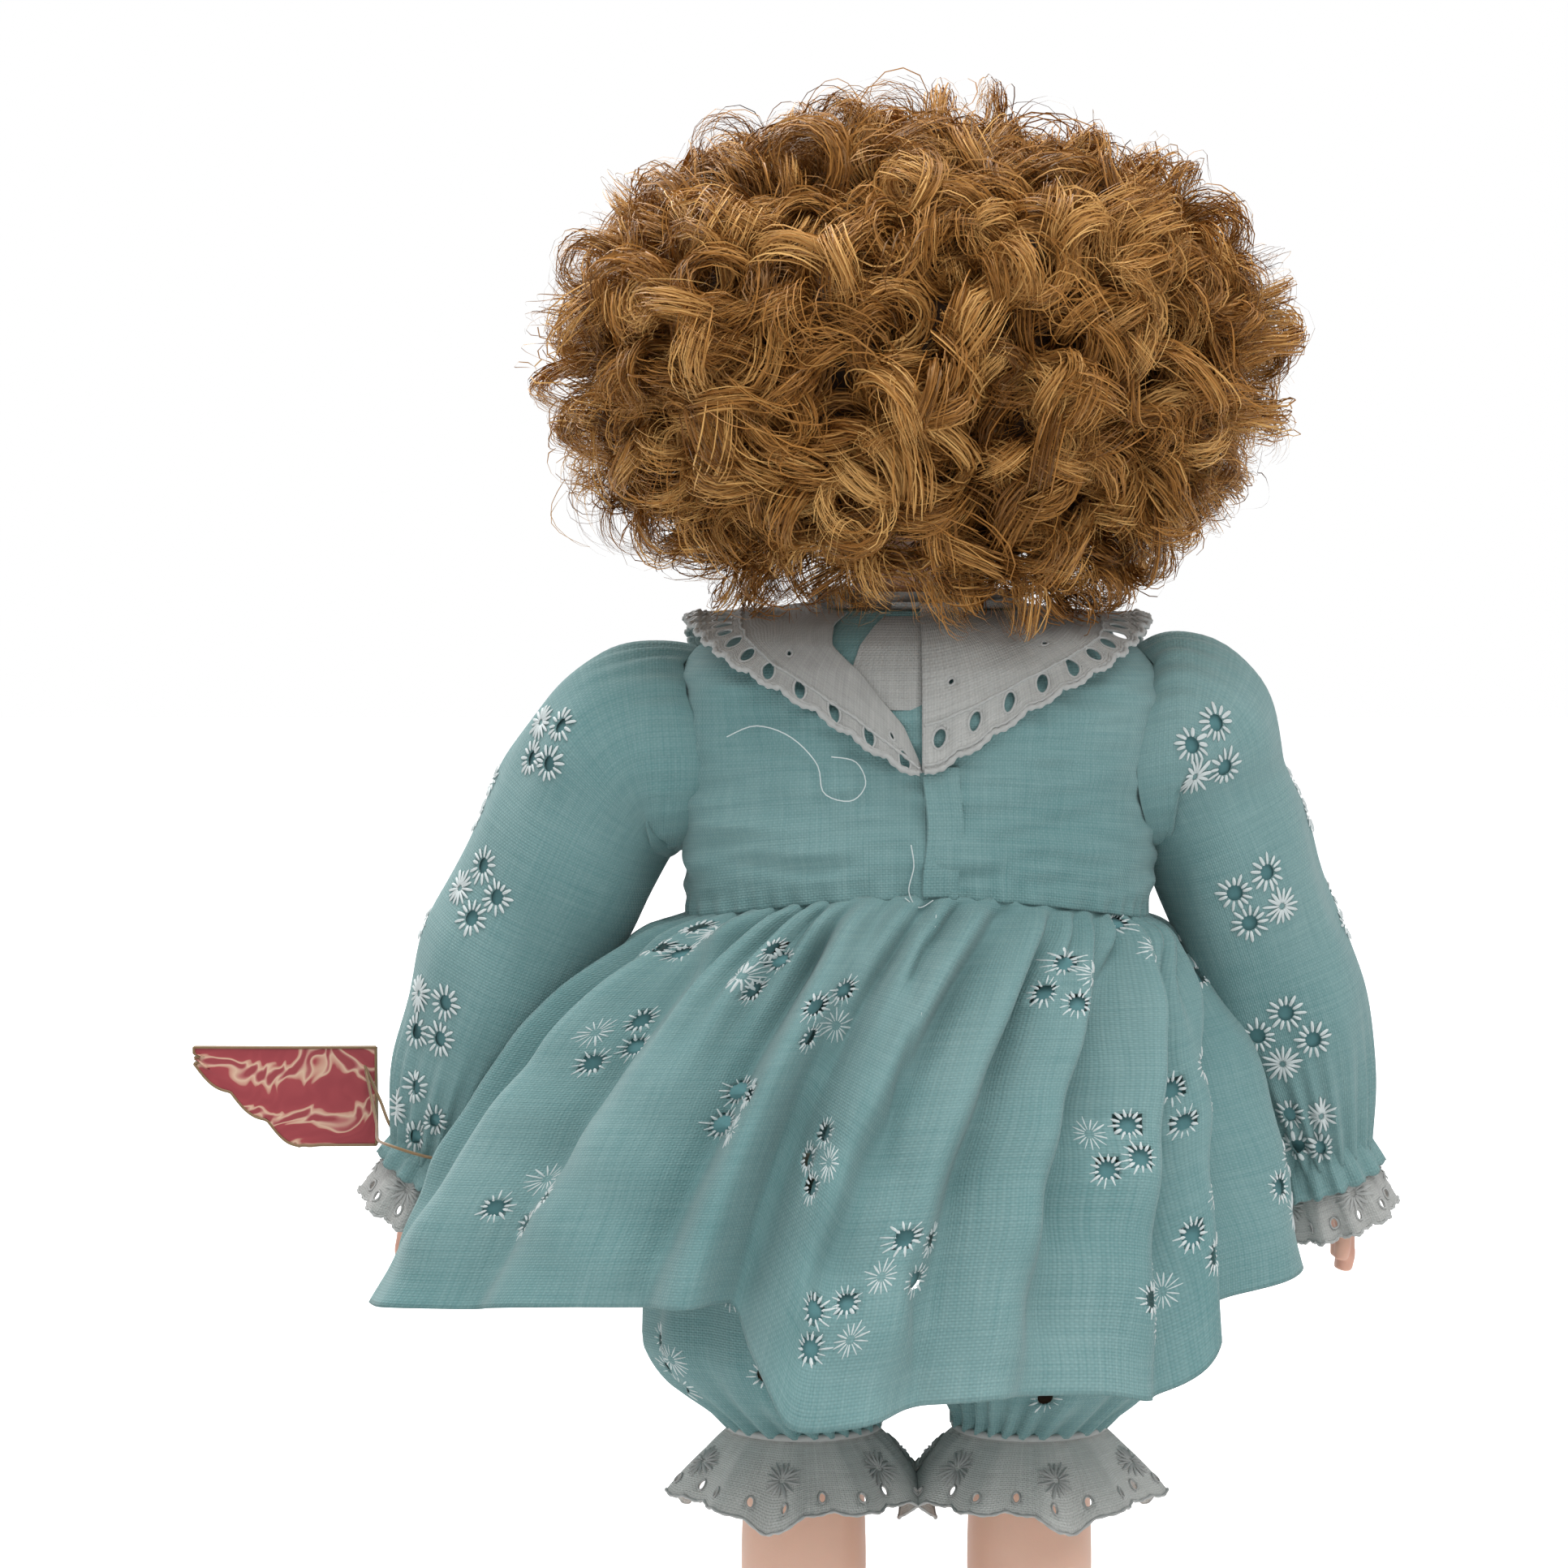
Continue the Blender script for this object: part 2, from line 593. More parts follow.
ARM_Y, ARM_Z = -3, 258
ARMHOLE_X, SLEEVE_FREE_X = 46, 57  # the sleeve passes from the torso to the arm between these
LEFT_SLEEVE = sleeve_shape_for(LEFT_ARM, 1)
RIGHT_SLEEVE = sleeve_shape_for(RIGHT_ARM, -1)


def sleeve(name, shape, side, holes):
    piece = cloth(f"{name}_sleeve_cloth", shape, (140, 110), (150, 128), closed=True,
                  holes=holes, flip=side < 0)
    finish_piece(piece, AQUA, None, [f"{name}_sleeve"])
    spot(side * ARMHOLE_X, ARM_Y, ARM_Z)
    spot(side * SLEEVE_FREE_X, ARM_Y, ARM_Z)
    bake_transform(piece)
    thicken(piece, 0.4)
    return piece


# ---------------------------------------------------------------- wig

WIG_MIDDLE = np.array([0, 3.0, 340.0])
WIG_WIDE, WIG_DEEP, WIG_UP, WIG_DOWN = 76.5, 60.0, 51.5, 56.0


def wig_point(way, reach):
    """A point on the wig's outline, way being unit directions from its middle."""
    hang = 6 * np.exp(-((way[..., 0] + 0.35) / 0.22) ** 2 - ((way[..., 1] - 0.6) / 0.4) ** 2)
    tall = np.where(way[..., 2] > 0, WIG_UP, WIG_DOWN + hang)
    size = np.stack([0 * tall + WIG_WIDE, 0 * tall + WIG_DEEP, tall], -1)
    return WIG_MIDDLE + way * size * np.asarray(reach)[..., None]


def face_room(way):
    """How far down, as a polar angle, hair grows in a direction round the head."""
    q = np.arctan2(way[..., 1], way[..., 0])
    return np.radians(150 - 96 * ((1 - np.sin(q)) / 2) ** 5)


def strands_of(rng, locks, per_lock, steps):
    """Every strand of every lock: the points, which way is outwards, and its tone."""
    golden = math.pi * (3 - math.sqrt(5))
    k = np.arange(locks)
    z = 1 - 2 * (k + 0.5) / locks
    ring = np.sqrt(1 - z * z)
    ways = np.stack([ring * np.cos(golden * k), ring * np.sin(golden * k), z], -1)
    ways += rng.normal(0, 0.05, ways.shape)
    ways /= np.linalg.norm(ways, axis=1)[:, None]
    ways = ways[np.arccos(ways[:, 2]) < face_room(ways)]
    t = np.linspace(0, 1, steps)
    curves, tones, outs = [], [], []
    for number, way in enumerate(ways):
        down = np.array([0, 0, -1.0]) + way * way[2]
        down /= np.linalg.norm(down) + 1e-6
        across = np.cross(way, down)
        lean = rng.normal(0, 0.8)
        run = down * math.cos(lean) + across * math.sin(lean)
        length = rng.uniform(0.2, 0.62)
        loose = number % 9 == 0
        deep, proud = rng.uniform(0.62, 0.84), rng.uniform(0.82, 1.02) + 0.05 * loose
        bearing = way[None] + run[None] * (t[:, None] - 0.45) * length
        bearing /= np.linalg.norm(bearing, axis=1)[:, None]
        core = wig_point(bearing, deep + (proud - deep) * smooth(t, 0.0, 0.7))
        heading = np.gradient(core, axis=0)
        heading /= np.linalg.norm(heading, axis=1)[:, None]
        lift = bearing - heading * (bearing * heading).sum(1)[:, None]
        lift /= np.linalg.norm(lift, axis=1)[:, None]
        side = np.cross(heading, lift)
        turns = rng.uniform(1.2, 2.6) * rng.choice([-1, 1])
        coil = rng.choice([rng.uniform(3.5, 6.0), rng.uniform(6.5, 9.5)])
        phase = rng.uniform(0, TURN)
        tone = np.clip(rng.normal(0.46, 0.13), 0.12, 0.85)
        n = per_lock // 3 if loose else per_lock
        spread = rng.normal(0, 1, (n, 1, 3)) * rng.uniform(0.9, 1.9) * (1 + loose)
        sway = rng.normal(0, 1, (n, 1, 3)) * np.sin(t * rng.uniform(3, 7) + phase)[None, :, None]
        twist = phase + rng.normal(0, 0.2, (n, 1)) + turns * TURN * t[None] * rng.normal(1, 0.035, (n, 1))
        wide = coil * rng.normal(1, 0.09, (n, 1)) * smooth(t, -0.3, 0.35)[None] * (1 - 0.55 * t[None] ** 2)
        crimp = rng.normal(0, 0.34, (n, 1)) * np.sin(t[None] * rng.uniform(14, 34, (n, 1)) + phase)
        curve = (core[None] + spread * (0.7 + 0.3 * t[None, :, None]) + sway * 0.5
                 + lift[None] * (wide * np.cos(twist) + crimp)[..., None]
                 + side[None] * (wide * np.sin(twist) + crimp)[..., None])
        curves.append(curve)
        outs.append(np.broadcast_to(bearing[None], curve.shape))
        tones.append(np.clip(tone + rng.normal(0, 0.14, n), 0.02, 0.98))
    return np.concatenate(curves), np.concatenate(outs), np.concatenate(tones)


def ribbon_mesh(name, rng, curves, outs, tones, width):
    """Flat strands, broad side outwards, tapering at both ends."""
    n, steps, _ = curves.shape
    heading = np.gradient(curves, axis=1)
    heading /= np.linalg.norm(heading, axis=2)[..., None] + 1e-9
    side = np.cross(heading, outs)
    side /= np.linalg.norm(side, axis=2)[..., None] + 1e-9
    other = np.cross(heading, side)
    tilt = rng.normal(0, 0.6, (n, 1, 1))
    side = side * np.cos(tilt) + other * np.sin(tilt)
    t = np.linspace(0, 1, steps)
    taper = (smooth(t, -0.15, 0.1) * (1 - 0.82 * smooth(t, 0.6, 1.0)))[None, :, None]
    half = side * taper * (width / 2) * rng.uniform(0.7, 1.3, (n, 1, 1))
    points = np.stack([curves - half, curves + half], 2).reshape(-1, 3)
    s, i = np.meshgrid(np.arange(n), np.arange(steps - 1), indexing="ij")
    base = (s * steps + i).ravel() * 2
    faces = np.stack([base, base + 1, base + 3, base + 2], 1)
    tone = np.repeat(tones, steps - 1)
    low = t[i.ravel()] * 0.96 + 0.02
    high = t[i.ravel() + 1] * 0.96 + 0.02
    strand = np.stack([
        np.stack([tone - 0.006, low], 1), np.stack([tone + 0.006, low], 1),
        np.stack([tone + 0.006, high], 1), np.stack([tone - 0.006, high], 1)], 1)
    strand = np.clip(strand, 0.001, 0.999)
    return mesh_of(name, points, faces, {"Strand": strand, "OFBake": strand})


def wig():
    rng = np.random.default_rng(11)
    curves, outs, tones = strands_of(rng, 760, 42, 26)
    start = curves[:, 13] - WIG_MIDDLE
    sector = np.floor((np.arctan2(start[:, 1], start[:, 0]) / TURN % 1) * 5).astype(int)
    sector[start[:, 2] > 30] = 5
    names = ("left", "back_left", "back_right", "right", "brow", "crown")
    pieces = []
    for k, title in enumerate(names):
        mine = sector == k
        piece = ribbon_mesh(f"curls_{title}", rng, curves[mine], outs[mine], tones[mine], 0.27)
        finish_piece(piece, CURLS, "head", ["wig_hair"] if k == 0 else ())
        pieces.append(piece)

    def pad_shape(u, v):
        u, v = np.asarray(u, float), np.asarray(v, float)
        q = TURN * u
        level = np.stack([np.cos(q), np.sin(q), 0 * q], -1)
        polar = 0.02 + v * (face_room(level) - 0.02)
        way = np.stack([np.sin(polar) * np.cos(q), np.sin(polar) * np.sin(q), np.cos(polar)], -1)
        points = wig_point(way, 0.76 + 0 * u)
        bumps = ripple(points, 15, 41) * 0.04
        return wig_point(way, 0.76 + bumps)

    pad = cloth("wig_base", pad_shape, (160, 80), (300, 120), closed=True, flip=True)
    thicken(pad, 4.0, -1.0)
    finish_piece(pad, CURLS_BASE, "head")
    return pieces


def curl_base_finish():
    """The matted root of the wig, with fibres running over it."""
    material, nodes, links, shader = new_material("wig_roots")
    where = nodes.new("ShaderNodeTexCoord")
    patch = place_group(nodes, PATCHES)
    patch.inputs["Scale"].default_value = 260.0
    links.new(where.outputs["Object"], patch.inputs["Place"])
    ramp = nodes.new("ShaderNodeValToRGB")
    ramp.color_ramp.elements[0].color = colour(30, 17, 7)
    ramp.color_ramp.elements[1].color = colour(84, 54, 26)
    links.new(math_node(nodes, links, "ADD", patch.outputs["Patch"], 0.5), ramp.inputs[0])
    links.new(ramp.outputs[0], shader.inputs["Base Color"])
    raised = nodes.new("ShaderNodeBump")
    raised.inputs["Distance"].default_value = 0.001
    links.new(patch.outputs["Patch"], raised.inputs["Height"])
    links.new(raised.outputs[0], shader.inputs["Normal"])
    shader.inputs["Roughness"].default_value = 0.7
    return material


CURLS_BASE = curl_base_finish()


# ---------------------------------------------------------------- embroidery

CLUSTER = (("eyelet", -3.9, 3.9), ("eyelet", 3.7, 4.4), ("eyelet", -3.7, -4.3), ("daisy", 4.5, -3.7))
EYELET_HOLE = 1.75


def flowers_at(shape, places):
    """Every flower of the clusters at places (u, v, turn in degrees): (kind, u, v)."""
    flowers = []
    for u, v, turn in places:
        _, _, across, down = surface_frame(shape, u, v)
        angle = math.radians(turn)
        for kind, x, y in CLUSTER:
            right = x * math.cos(angle) - y * math.sin(angle)
            below = x * math.sin(angle) + y * math.cos(angle)
            flowers.append((kind, u + right / across[0], v + below / down[0]))
    return flowers


def eyelet_holes(flowers):
    return [(u, v, EYELET_HOLE, EYELET_HOLE) for kind, u, v in flowers if kind == "eyelet"]


def stitch_blocks(rng, flowers):
    """Every radial stitch as local points (across, down, height) with its flower's place."""
    sections = ((0.0, 0.05, 0.0), (0.12, 0.8, 0.8), (0.5, 1.0, 1.0), (0.88, 0.8, 0.8), (1.0, 0.05, 0.0))
    where, local = [], []
    for kind, u, v in flowers:
        count = 13 if kind == "eyelet" else 15
        first, last = (1.7, 4.0) if kind == "eyelet" else (0.7, 4.3)
        start = rng.uniform(0, TURN)
        for k in range(count):
            angle = start + (k + rng.normal(0, 0.08)) * TURN / count
            near, far = first, last * rng.uniform(0.84, 1.1)
            wide, high = rng.uniform(0.3, 0.4), rng.uniform(0.35, 0.5)
            for share, breadth, rise in sections[1:4]:
                for side, up in ((-1, 0.15), (0, 1), (1, 0.15)):
                    run = near + (far - near) * share
                    x = run * math.cos(angle) - side * wide * breadth * math.sin(angle)
                    y = run * math.sin(angle) + side * wide * breadth * math.cos(angle)
                    local.append((x, y, high * rise * up + 0.04))
                    where.append((u, v))
            for run in (near - 0.1, far + 0.15):
                local.append((run * math.cos(angle), run * math.sin(angle), 0.02))
                where.append((u, v))
    return np.array(where), np.array(local)


STITCH_FACES = np.array([
    (0, 1, 4), (0, 4, 3), (1, 2, 5), (1, 5, 4), (3, 4, 7), (3, 7, 6), (4, 5, 8), (4, 8, 7),
    (9, 1, 0), (9, 2, 1), (10, 6, 7), (10, 7, 8)])


def embroidery(name, shape, flowers, outward, seed):
    """The raised stitches round eyelets and daisies, laid on the sheet they are sewn to."""
    rng = np.random.default_rng(seed)
    where, local = stitch_blocks(rng, flowers)
    _, _, across, down = surface_frame(shape, where[:, 0], where[:, 1])
    u = where[:, 0] + local[:, 0] / across
    v = np.clip(where[:, 1] + local[:, 1] / down, 0, 1)
    points, normal, _, _ = surface_frame(shape, u, v)
    points = points + normal * (outward * local[:, 2] + outward * 0.12)[:, None]
    count = len(points) // 11
    faces = (STITCH_FACES[None] + 11 * np.arange(count)[:, None, None]).reshape(-1, 3)
    if outward > 0:
        faces = faces[:, ::-1]
    return mesh_of(name, points, faces)


def hole_edges(name, shape, holes, outward, thread=0.28, sides=5, around=14):
    """A bound edge of thread round each hole."""
    paths, radii = [], []
    turn = np.linspace(0, TURN, around + 1)
    for u, v, half_u, half_v in holes:
        _, _, across, down = surface_frame(shape, u, v)
        ring_u = u + (half_u + 0.1) * np.cos(turn) / across[0]
        ring_v = np.clip(v + (half_v + 0.1) * np.sin(turn) / down[0], 0, 1)
        points, normal, _, _ = surface_frame(shape, ring_u, ring_v)
        paths.append(points + normal * outward * thread * 0.5)
        radii.append(thread * (1 + 0.15 * np.sin(7 * turn)))
    return tube_set(name, paths, radii, sides)


def stitches_along(name, paths, length, gap, radius):
    """Running stitches: short raised threads along each path of mm points."""
    tubes, radii = [], []
    for path in paths:
        path = np.asarray(path, float)
        run = np.concatenate([[0], np.cumsum(np.linalg.norm(np.diff(path, axis=0), axis=1))])
        at = 0.0
        while at + length < run[-1]:
            share = np.linspace(at, at + length, 5)
            points = np.stack([np.interp(share, run, path[:, k]) for k in range(3)], 1)
            tubes.append(points)
            radii.append(radius * np.array([0.3, 0.9, 1, 0.9, 0.3]))
            at += length + gap
    return tube_set(name, tubes, radii, 5)


# ---------------------------------------------------------------- collar

COLLAR_LOW = ((0, 254.5), (13, 262), (28, 271), (46, 277.5), (69, 281.5), (90, 283), (111, 281), (135, 273),
              (159, 263.5), (180, 257))
LEFT_COLLAR_TOP = ((0, 256.5), (4, 265), (14, 276), (28, 284), (42, 290), (50, 291.5), (180, 291.5))
RIGHT_COLLAR_TOP = ((0, 289.5), (180, 291.5))
EDGE_EYELETS = 24


def on_bodice(q, z, proud):
    a, b = bodice_half(z)
    c, s = np.cos(q), np.sin(q)
    reach = (np.abs(c) ** 2.25 + np.abs(s) ** 2.25) ** (-1 / 2.25)
    return np.stack([(a * reach + proud) * c, (b * reach + proud) * s, z], -1)


def collar_shape_for(side, top_line):
    low_at, low_z = np.array(COLLAR_LOW, float).T
    top_at, top_z = np.array(top_line, float).T

    def shape(u, v):
        u, v = np.asarray(u, float), np.asarray(v, float)
        degrees = 180 * u
        low = np.interp(degrees, low_at, low_z)
        low = (low + np.interp(degrees + 5, low_at, low_z) + np.interp(degrees - 5, low_at, low_z)) / 3
        top = np.interp(degrees, top_at, top_z)
        scallop = 1.1 * np.abs(np.sin(math.pi * EDGE_EYELETS * u)) * v ** 6
        z = top + (low - top) * v - scallop
        q = math.pi / 2 - math.pi * u
        shoulder = np.cos(q) ** 2
        proud = 1.4 + 1.2 * v + shoulder * 3.0 * v ** 1.5
        proud = proud + 0.7 * np.sin(31 * u + 1.5 * np.sin(9 * u)) * v ** 1.5 * smooth(u, 0.02, 0.1)
        points = on_bodice(q, z, proud)
        points[..., 2] += shoulder * 4.0 * v ** 2
        return points * (side, 1, 1)

    return shape


def collar_half(name, side, top_line, seed):
    shape = collar_shape_for(side, top_line)
    holes = [((k + 0.5) / EDGE_EYELETS, 0.82, 1.5, 2.1) for k in range(EDGE_EYELETS)]
    small = [((k + 0.25) / 7, 0.5, 0.7, 0.7) for k in range(7)]
    piece = cloth(f"{name}_collar_lace", shape, (190, 34), (150, 26), holes=holes + small, flip=side > 0)
    thicken(piece, 0.4, 1.0)
    finish_piece(piece, LACE, "torso", [f"collar_{name}"])
    rims = hole_edges(f"{name}_collar_eyelets", shape, holes + small, -side, 0.3)
    finish_piece(rims, LACE_THREAD, "torso")
    t = np.linspace(0.003, 0.997, 420)
    edge, _, _, _ = surface_frame(shape, t, np.full_like(t, 0.992))
    thick = 0.62 + 0.16 * np.sin(190 * t * math.pi)
    thin = 0.34 + 0.1 * np.sin(230 * t * math.pi)
    border = tube_set(f"{name}_collar_border", [edge, *rows_of_border(shape, t)], [thick, thin, thin], 6)
    finish_piece(border, LACE_THREAD, "torso")
    blooms = [("daisy", (k + 0.75) / 7, 0.42) for k in range(7)]
    sprigs = embroidery(f"{name}_collar_flowers", shape, blooms, -side, seed)
    finish_piece(sprigs, LACE_THREAD, "torso")


def rows_of_border(shape, t):
    """Two lighter lines of stitching above and below the row of eyelets."""
    rows = []
    for level in (0.955, 0.72):
        rows.append(shape(t, np.full_like(t, level)))
    return rows


LACE_THREAD = thread_finish("lace_thread", colour(176, 178, 176), 0.6)


def neck_facing():
    """The white lining that shows inside the neck opening, and the press-stud placket."""
    def facing(u, v):
        q = np.radians(74 + 18 * np.asarray(u, float))
        return on_bodice(q, 268 + 21.5 * np.asarray(v, float), 0.45)

    piece = cloth("neck_facing", facing, (30, 36), (16.5, 22.5))
    finish_piece(piece, LACE, "torso")


def placket():
    """The overlapping back opening, with its running stitch, bar tack and loose thread ends."""
    def flap(u, v):
        u, v = np.asarray(u, float), np.asarray(v, float)
        z = 229.5 + 27 * v
        x = -0.6 - 7.5 * u + 0.5 * np.sin(7 * v + 1)
        a, b = bodice_half(z)
        y = b * (1 - np.abs(x / a) ** 2.25) ** (1 / 2.25) + 1.1 * (1 - u) ** 1.5 - 0.35 + 0.2 * np.sin(9 * v)
        return np.stack([x, y, z], -1)

    piece = cloth("back_placket", flap, (12, 44), (8, 27), flip=True)
    thicken(piece, 0.5, -1.0)
    finish_piece(piece, AQUA, "torso")
    t = np.linspace(0, 1, 60)
    seam = flap(np.full_like(t, 0.3), 0.02 + 0.94 * t) + (0, 0.12, 0)
    down = np.linspace(0.02, 0.62, 60)
    skirt_seam, normal, _, _ = surface_frame(skirt_shape, skirt_seam_at(down) + 0.004, down)
    skirt_seam = skirt_seam - normal * 0.2
    piece = stitches_along("back_stitches", [seam, skirt_seam], 1.3, 1.3, 0.13)
    finish_piece(piece, WHITE_THREAD, "torso")
    loose = [
        [(40, 262), (34, 264.5), (27, 262.5), (21.5, 257), (20, 251), (14.5, 249.5), (11.5, 253),
         (13.5, 257.5), (18.5, 258.5)],
        [(2.2, 240.5), (1.6, 236), (2.6, 231), (1.2, 227.5)],
        [(3.4, 229.5), (0.5, 227.5), (-2.4, 229)],
    ]
    paths = []
    for line in loose:
        x, z = along(line, np.linspace(0, 1, 40)).T
        a, b = bodice_half(z)
        y = b * (1 - np.abs(x / a) ** 2.25) ** (1 / 2.25) + 1.6
        paths.append(np.stack([x, y, z], 1))
    threads = tube_set("loose_threads", paths, [0.13] * len(paths), 5)
    finish_piece(threads, WHITE_THREAD, "torso")


# ---------------------------------------------------------------- cuffs and ruffles

def frill_shape_for(middle, ahead, side, inner, outer, length, waves, deep, points=0, droop=0.0):
    """A gathered frill round a limb: a ring at middle, opening along ahead."""
    ahead = np.asarray(ahead, float) / np.linalg.norm(ahead)
    first = np.array([0, 1.0, 0]) - ahead * ahead[1]
    first /= np.linalg.norm(first)
    second = np.cross(ahead, first)

    def shape(u, v):
        u, v = np.asarray(u, float), np.asarray(v, float)
        turn = TURN * u
        wave = np.sin(waves * turn + 1.3 * np.sin(2 * turn) + 0.7)
        fine = np.sin(3 * waves * turn) * (1 - v)
        size = inner + (outer - inner) * v ** 0.8 + deep * wave * v + 0.3 * fine
        reach = length * v * (1 + droop * np.maximum(0, np.sin(points * turn + 0.4)) ** 3 * v)
        reach = reach + 0.7 * np.abs(np.sin(math.pi * 26 * u)) * v ** 8
        out = first * np.cos(turn)[..., None] + second * np.sin(turn)[..., None]
        placed_points = middle + out * size[..., None] + ahead * reach[..., None]
        return placed_points * (side, 1, 1)

    return shape


def frill(name, shape, cells, size, body, node, eyelets, seed, outward):
    holes = [((k + 0.5) / eyelets, 0.8, 0.8, 1.1) for k in range(eyelets)]
    blooms = [("daisy", (k + 0.2) / (eyelets // 3), 0.5) for k in range(eyelets // 3)]
    piece = cloth(name, shape, cells, size, closed=True, holes=holes, flip=outward < 0)
    thicken(piece, 0.35)
    lace = LACE if body.endswith("arm") else BRIGHT_LACE
    finish_piece(piece, lace, body, [node] if node else ())
    rims = hole_edges(f"{name}_eyelets", shape, holes, outward, 0.22)
    finish_piece(rims, LACE_THREAD, body)
    sprigs = embroidery(f"{name}_flowers", shape, blooms, outward, seed)
    finish_piece(sprigs, LACE_THREAD, body)
    t = np.linspace(0, 1, 361)
    edge = shape(t, np.full_like(t, 0.995))
    hem = tube_set(f"{name}_border", [edge], [0.34 + 0.08 * np.sin(150 * t * math.pi)], 6)
    finish_piece(hem, LACE_THREAD, body)


def arm_way(tilt):
    lean, tilt = math.radians(7), math.radians(tilt)
    return np.array([math.cos(lean) * math.sin(tilt), -math.sin(lean), -math.cos(lean) * math.cos(tilt)])


LEFT_WRIST = np.array([102.5, -15.4, 168.0])
RIGHT_WRIST = np.array([88.0, -14.8, 168.0])
LEFT_WAY, RIGHT_WAY = arm_way(27), arm_way(20)


def cuffs():
    for name, wrist, way, side in (("left", LEFT_WRIST, LEFT_WAY, 1), ("right", RIGHT_WRIST, RIGHT_WAY, -1)):
        cuff = frill_shape_for(wrist - way * 1.0, way, side, 8.8, 11.6, 15.5, 8, 1.1)
        frill(f"{name}_cuff_lace", cuff, (120, 26), (90, 16), f"{name}_arm", f"{name}_cuff", 12, 51, side)
        ruche = frill_shape_for(wrist - way * 5.0, way, side, 10.0, 12.0, 9.5, 13, 0.9)
        piece = cloth(f"{name}_wrist_frill", ruche, (150, 10), (90, 10), closed=True, flip=side < 0)
        thicken(piece, 0.4)
        finish_piece(piece, AQUA, f"{name}_arm")


HIP = np.array([24.0, 5.0, 186.0])
KNEE_Z = 114.0


def bloomer_leg_shape(side):
    levels = np.array([168, 160, 150, 141, 131, 123, 117, 114], float)
    wide = np.array([23, 25.5, 27, 27, 25.5, 22, 17.5, 14.6])
    shift = np.array([2, 4, 6, 6, 6, 4, 1.5, 0])

    def shape(u, v):
        u, v = np.asarray(u, float), np.asarray(v, float)
        turn = TURN * u
        z = 168 - 54 * v
        size = np.interp(z, levels[::-1], wide[::-1])
        above = np.interp(z + 3, levels[::-1], wide[::-1])
        below = np.interp(z - 3, levels[::-1], wide[::-1])
        size = (size + above + below) / 3
        move = np.interp(z, levels[::-1], shift[::-1])
        pleats = 1.0 * np.sin(24 * turn + 2 * np.sin(3 * turn)) * smooth(v, 0.65, 0.95)
        folds = 1.3 * np.sin(9 * turn + np.sin(2 * turn) + 2 * v)
        folds = folds * smooth(v, 0.05, 0.5) * (1 - smooth(v, 0.8, 1))
        base = np.stack([size * np.cos(turn), size * np.sin(turn), z], -1)
        soft = ripple(base, 22, 61) * 1.0 * (1 - smooth(v, 0.8, 1))
        size = size + pleats + folds + soft
        points = np.stack([HIP[0] + move + size * np.cos(turn), HIP[1] + size * np.sin(turn), z], -1)
        return points * (side, 1, 1)

    return shape


def bloomers():
    for name, side in (("left", 1), ("right", -1)):
        body = f"{name}_leg"
        shape = bloomer_leg_shape(side)
        places = [(u / 5 + 0.07 * row, v, 30 * u + 20) for row, v in enumerate((0.3, 0.72)) for u in range(5)]
        flowers = flowers_at(shape, places)
        piece = cloth(f"{name}_bloomer_cloth", shape, (170, 62), (190, 58), closed=True,
                      holes=eyelet_holes(flowers), flip=side > 0)
        thicken(piece, 0.4, 1.0)
        finish_piece(piece, AQUA, body, [f"{name}_bloomer_leg"])
        sprigs = embroidery(f"{name}_bloomer_flowers", shape, flowers, -side, 71)
        finish_piece(sprigs, WHITE_THREAD, body)
        knee = np.array([HIP[0], HIP[1], KNEE_Z])
        ruffle = frill_shape_for(knee, (0, 0, -1), side, 14.4, 27.5, 13.5, 9, 2.0, 4, 0.35)
        frill(f"{name}_ruffle_lace", ruffle, (190, 24), (190, 19), body,
              f"{name}_bloomer_ruffle", 20, 81, side)

    def seat(u, v):
        u, v = np.asarray(u, float), np.asarray(v, float)
        turn = TURN * u
        z = 217.5 - 41 * v
        a = np.interp(v, (0, 0.08, 0.4, 0.8, 1), (41.5, 43.5, 45.5, 50, 51))
        b = np.interp(v, (0, 0.08, 0.4, 0.8, 1), (30.5, 31.5, 32.5, 35.5, 36.5))
        pleats = 0.5 * np.sin(38 * turn) * (1 - smooth(v, 0.05, 0.3))
        c, s = np.cos(turn), np.sin(turn)
        reach = (np.abs(c) ** 2.7 + np.abs(s) ** 2.7) ** (-1 / 2.7)
        return np.stack([(a * reach + pleats) * c, (b * reach + pleats) * s, z], -1)

    piece = cloth("bloomer_seat_cloth", seat, (160, 30), (280, 44), closed=True, flip=True)
    thicken(piece, 0.4)
    finish_piece(piece, AQUA, "torso", ["bloomers_seat"])


# ---------------------------------------------------------------- porcelain head

EYE_X, EYE_Z = 12.5, 326.0
HEAD_HEART = np.array([0.0, -6.0, 325.0])
HEAD_MASSES = (  # middle, half sizes, softness of the join
    ((0, 2, 340), (33, 34, 33), 0), ((0, -9, 318), (24.5, 22, 24), 9), ((0, -19.5, 304.5), (9.5, 10, 8.5), 6),
    ((14, -19, 315), (11.5, 11, 11), 6), ((-14, -19, 315), (11.5, 11, 11), 6),
    ((0, -15, 343), (21, 17, 17), 8),
    ((0, -31, 325), (2.6, 4.2, 9), 4.5), ((0, -34.2, 317.8), (3.1, 4.2, 3.0), 3),
    ((2.7, -32.2, 316.6), (2.0, 2.8, 1.9), 2), ((-2.7, -32.2, 316.6), (2.0, 2.8, 1.9), 2),
    ((1.9, -29.4, 309.5), (3.2, 3.2, 1.3), 2.2), ((-1.9, -29.4, 309.5), (3.2, 3.2, 1.3), 2.2),
    ((0, -29.0, 306.9), (3.3, 3.2, 1.4), 2.2), ((0, -27.5, 308.3), (7.5, 3.5, 5.2), 5))
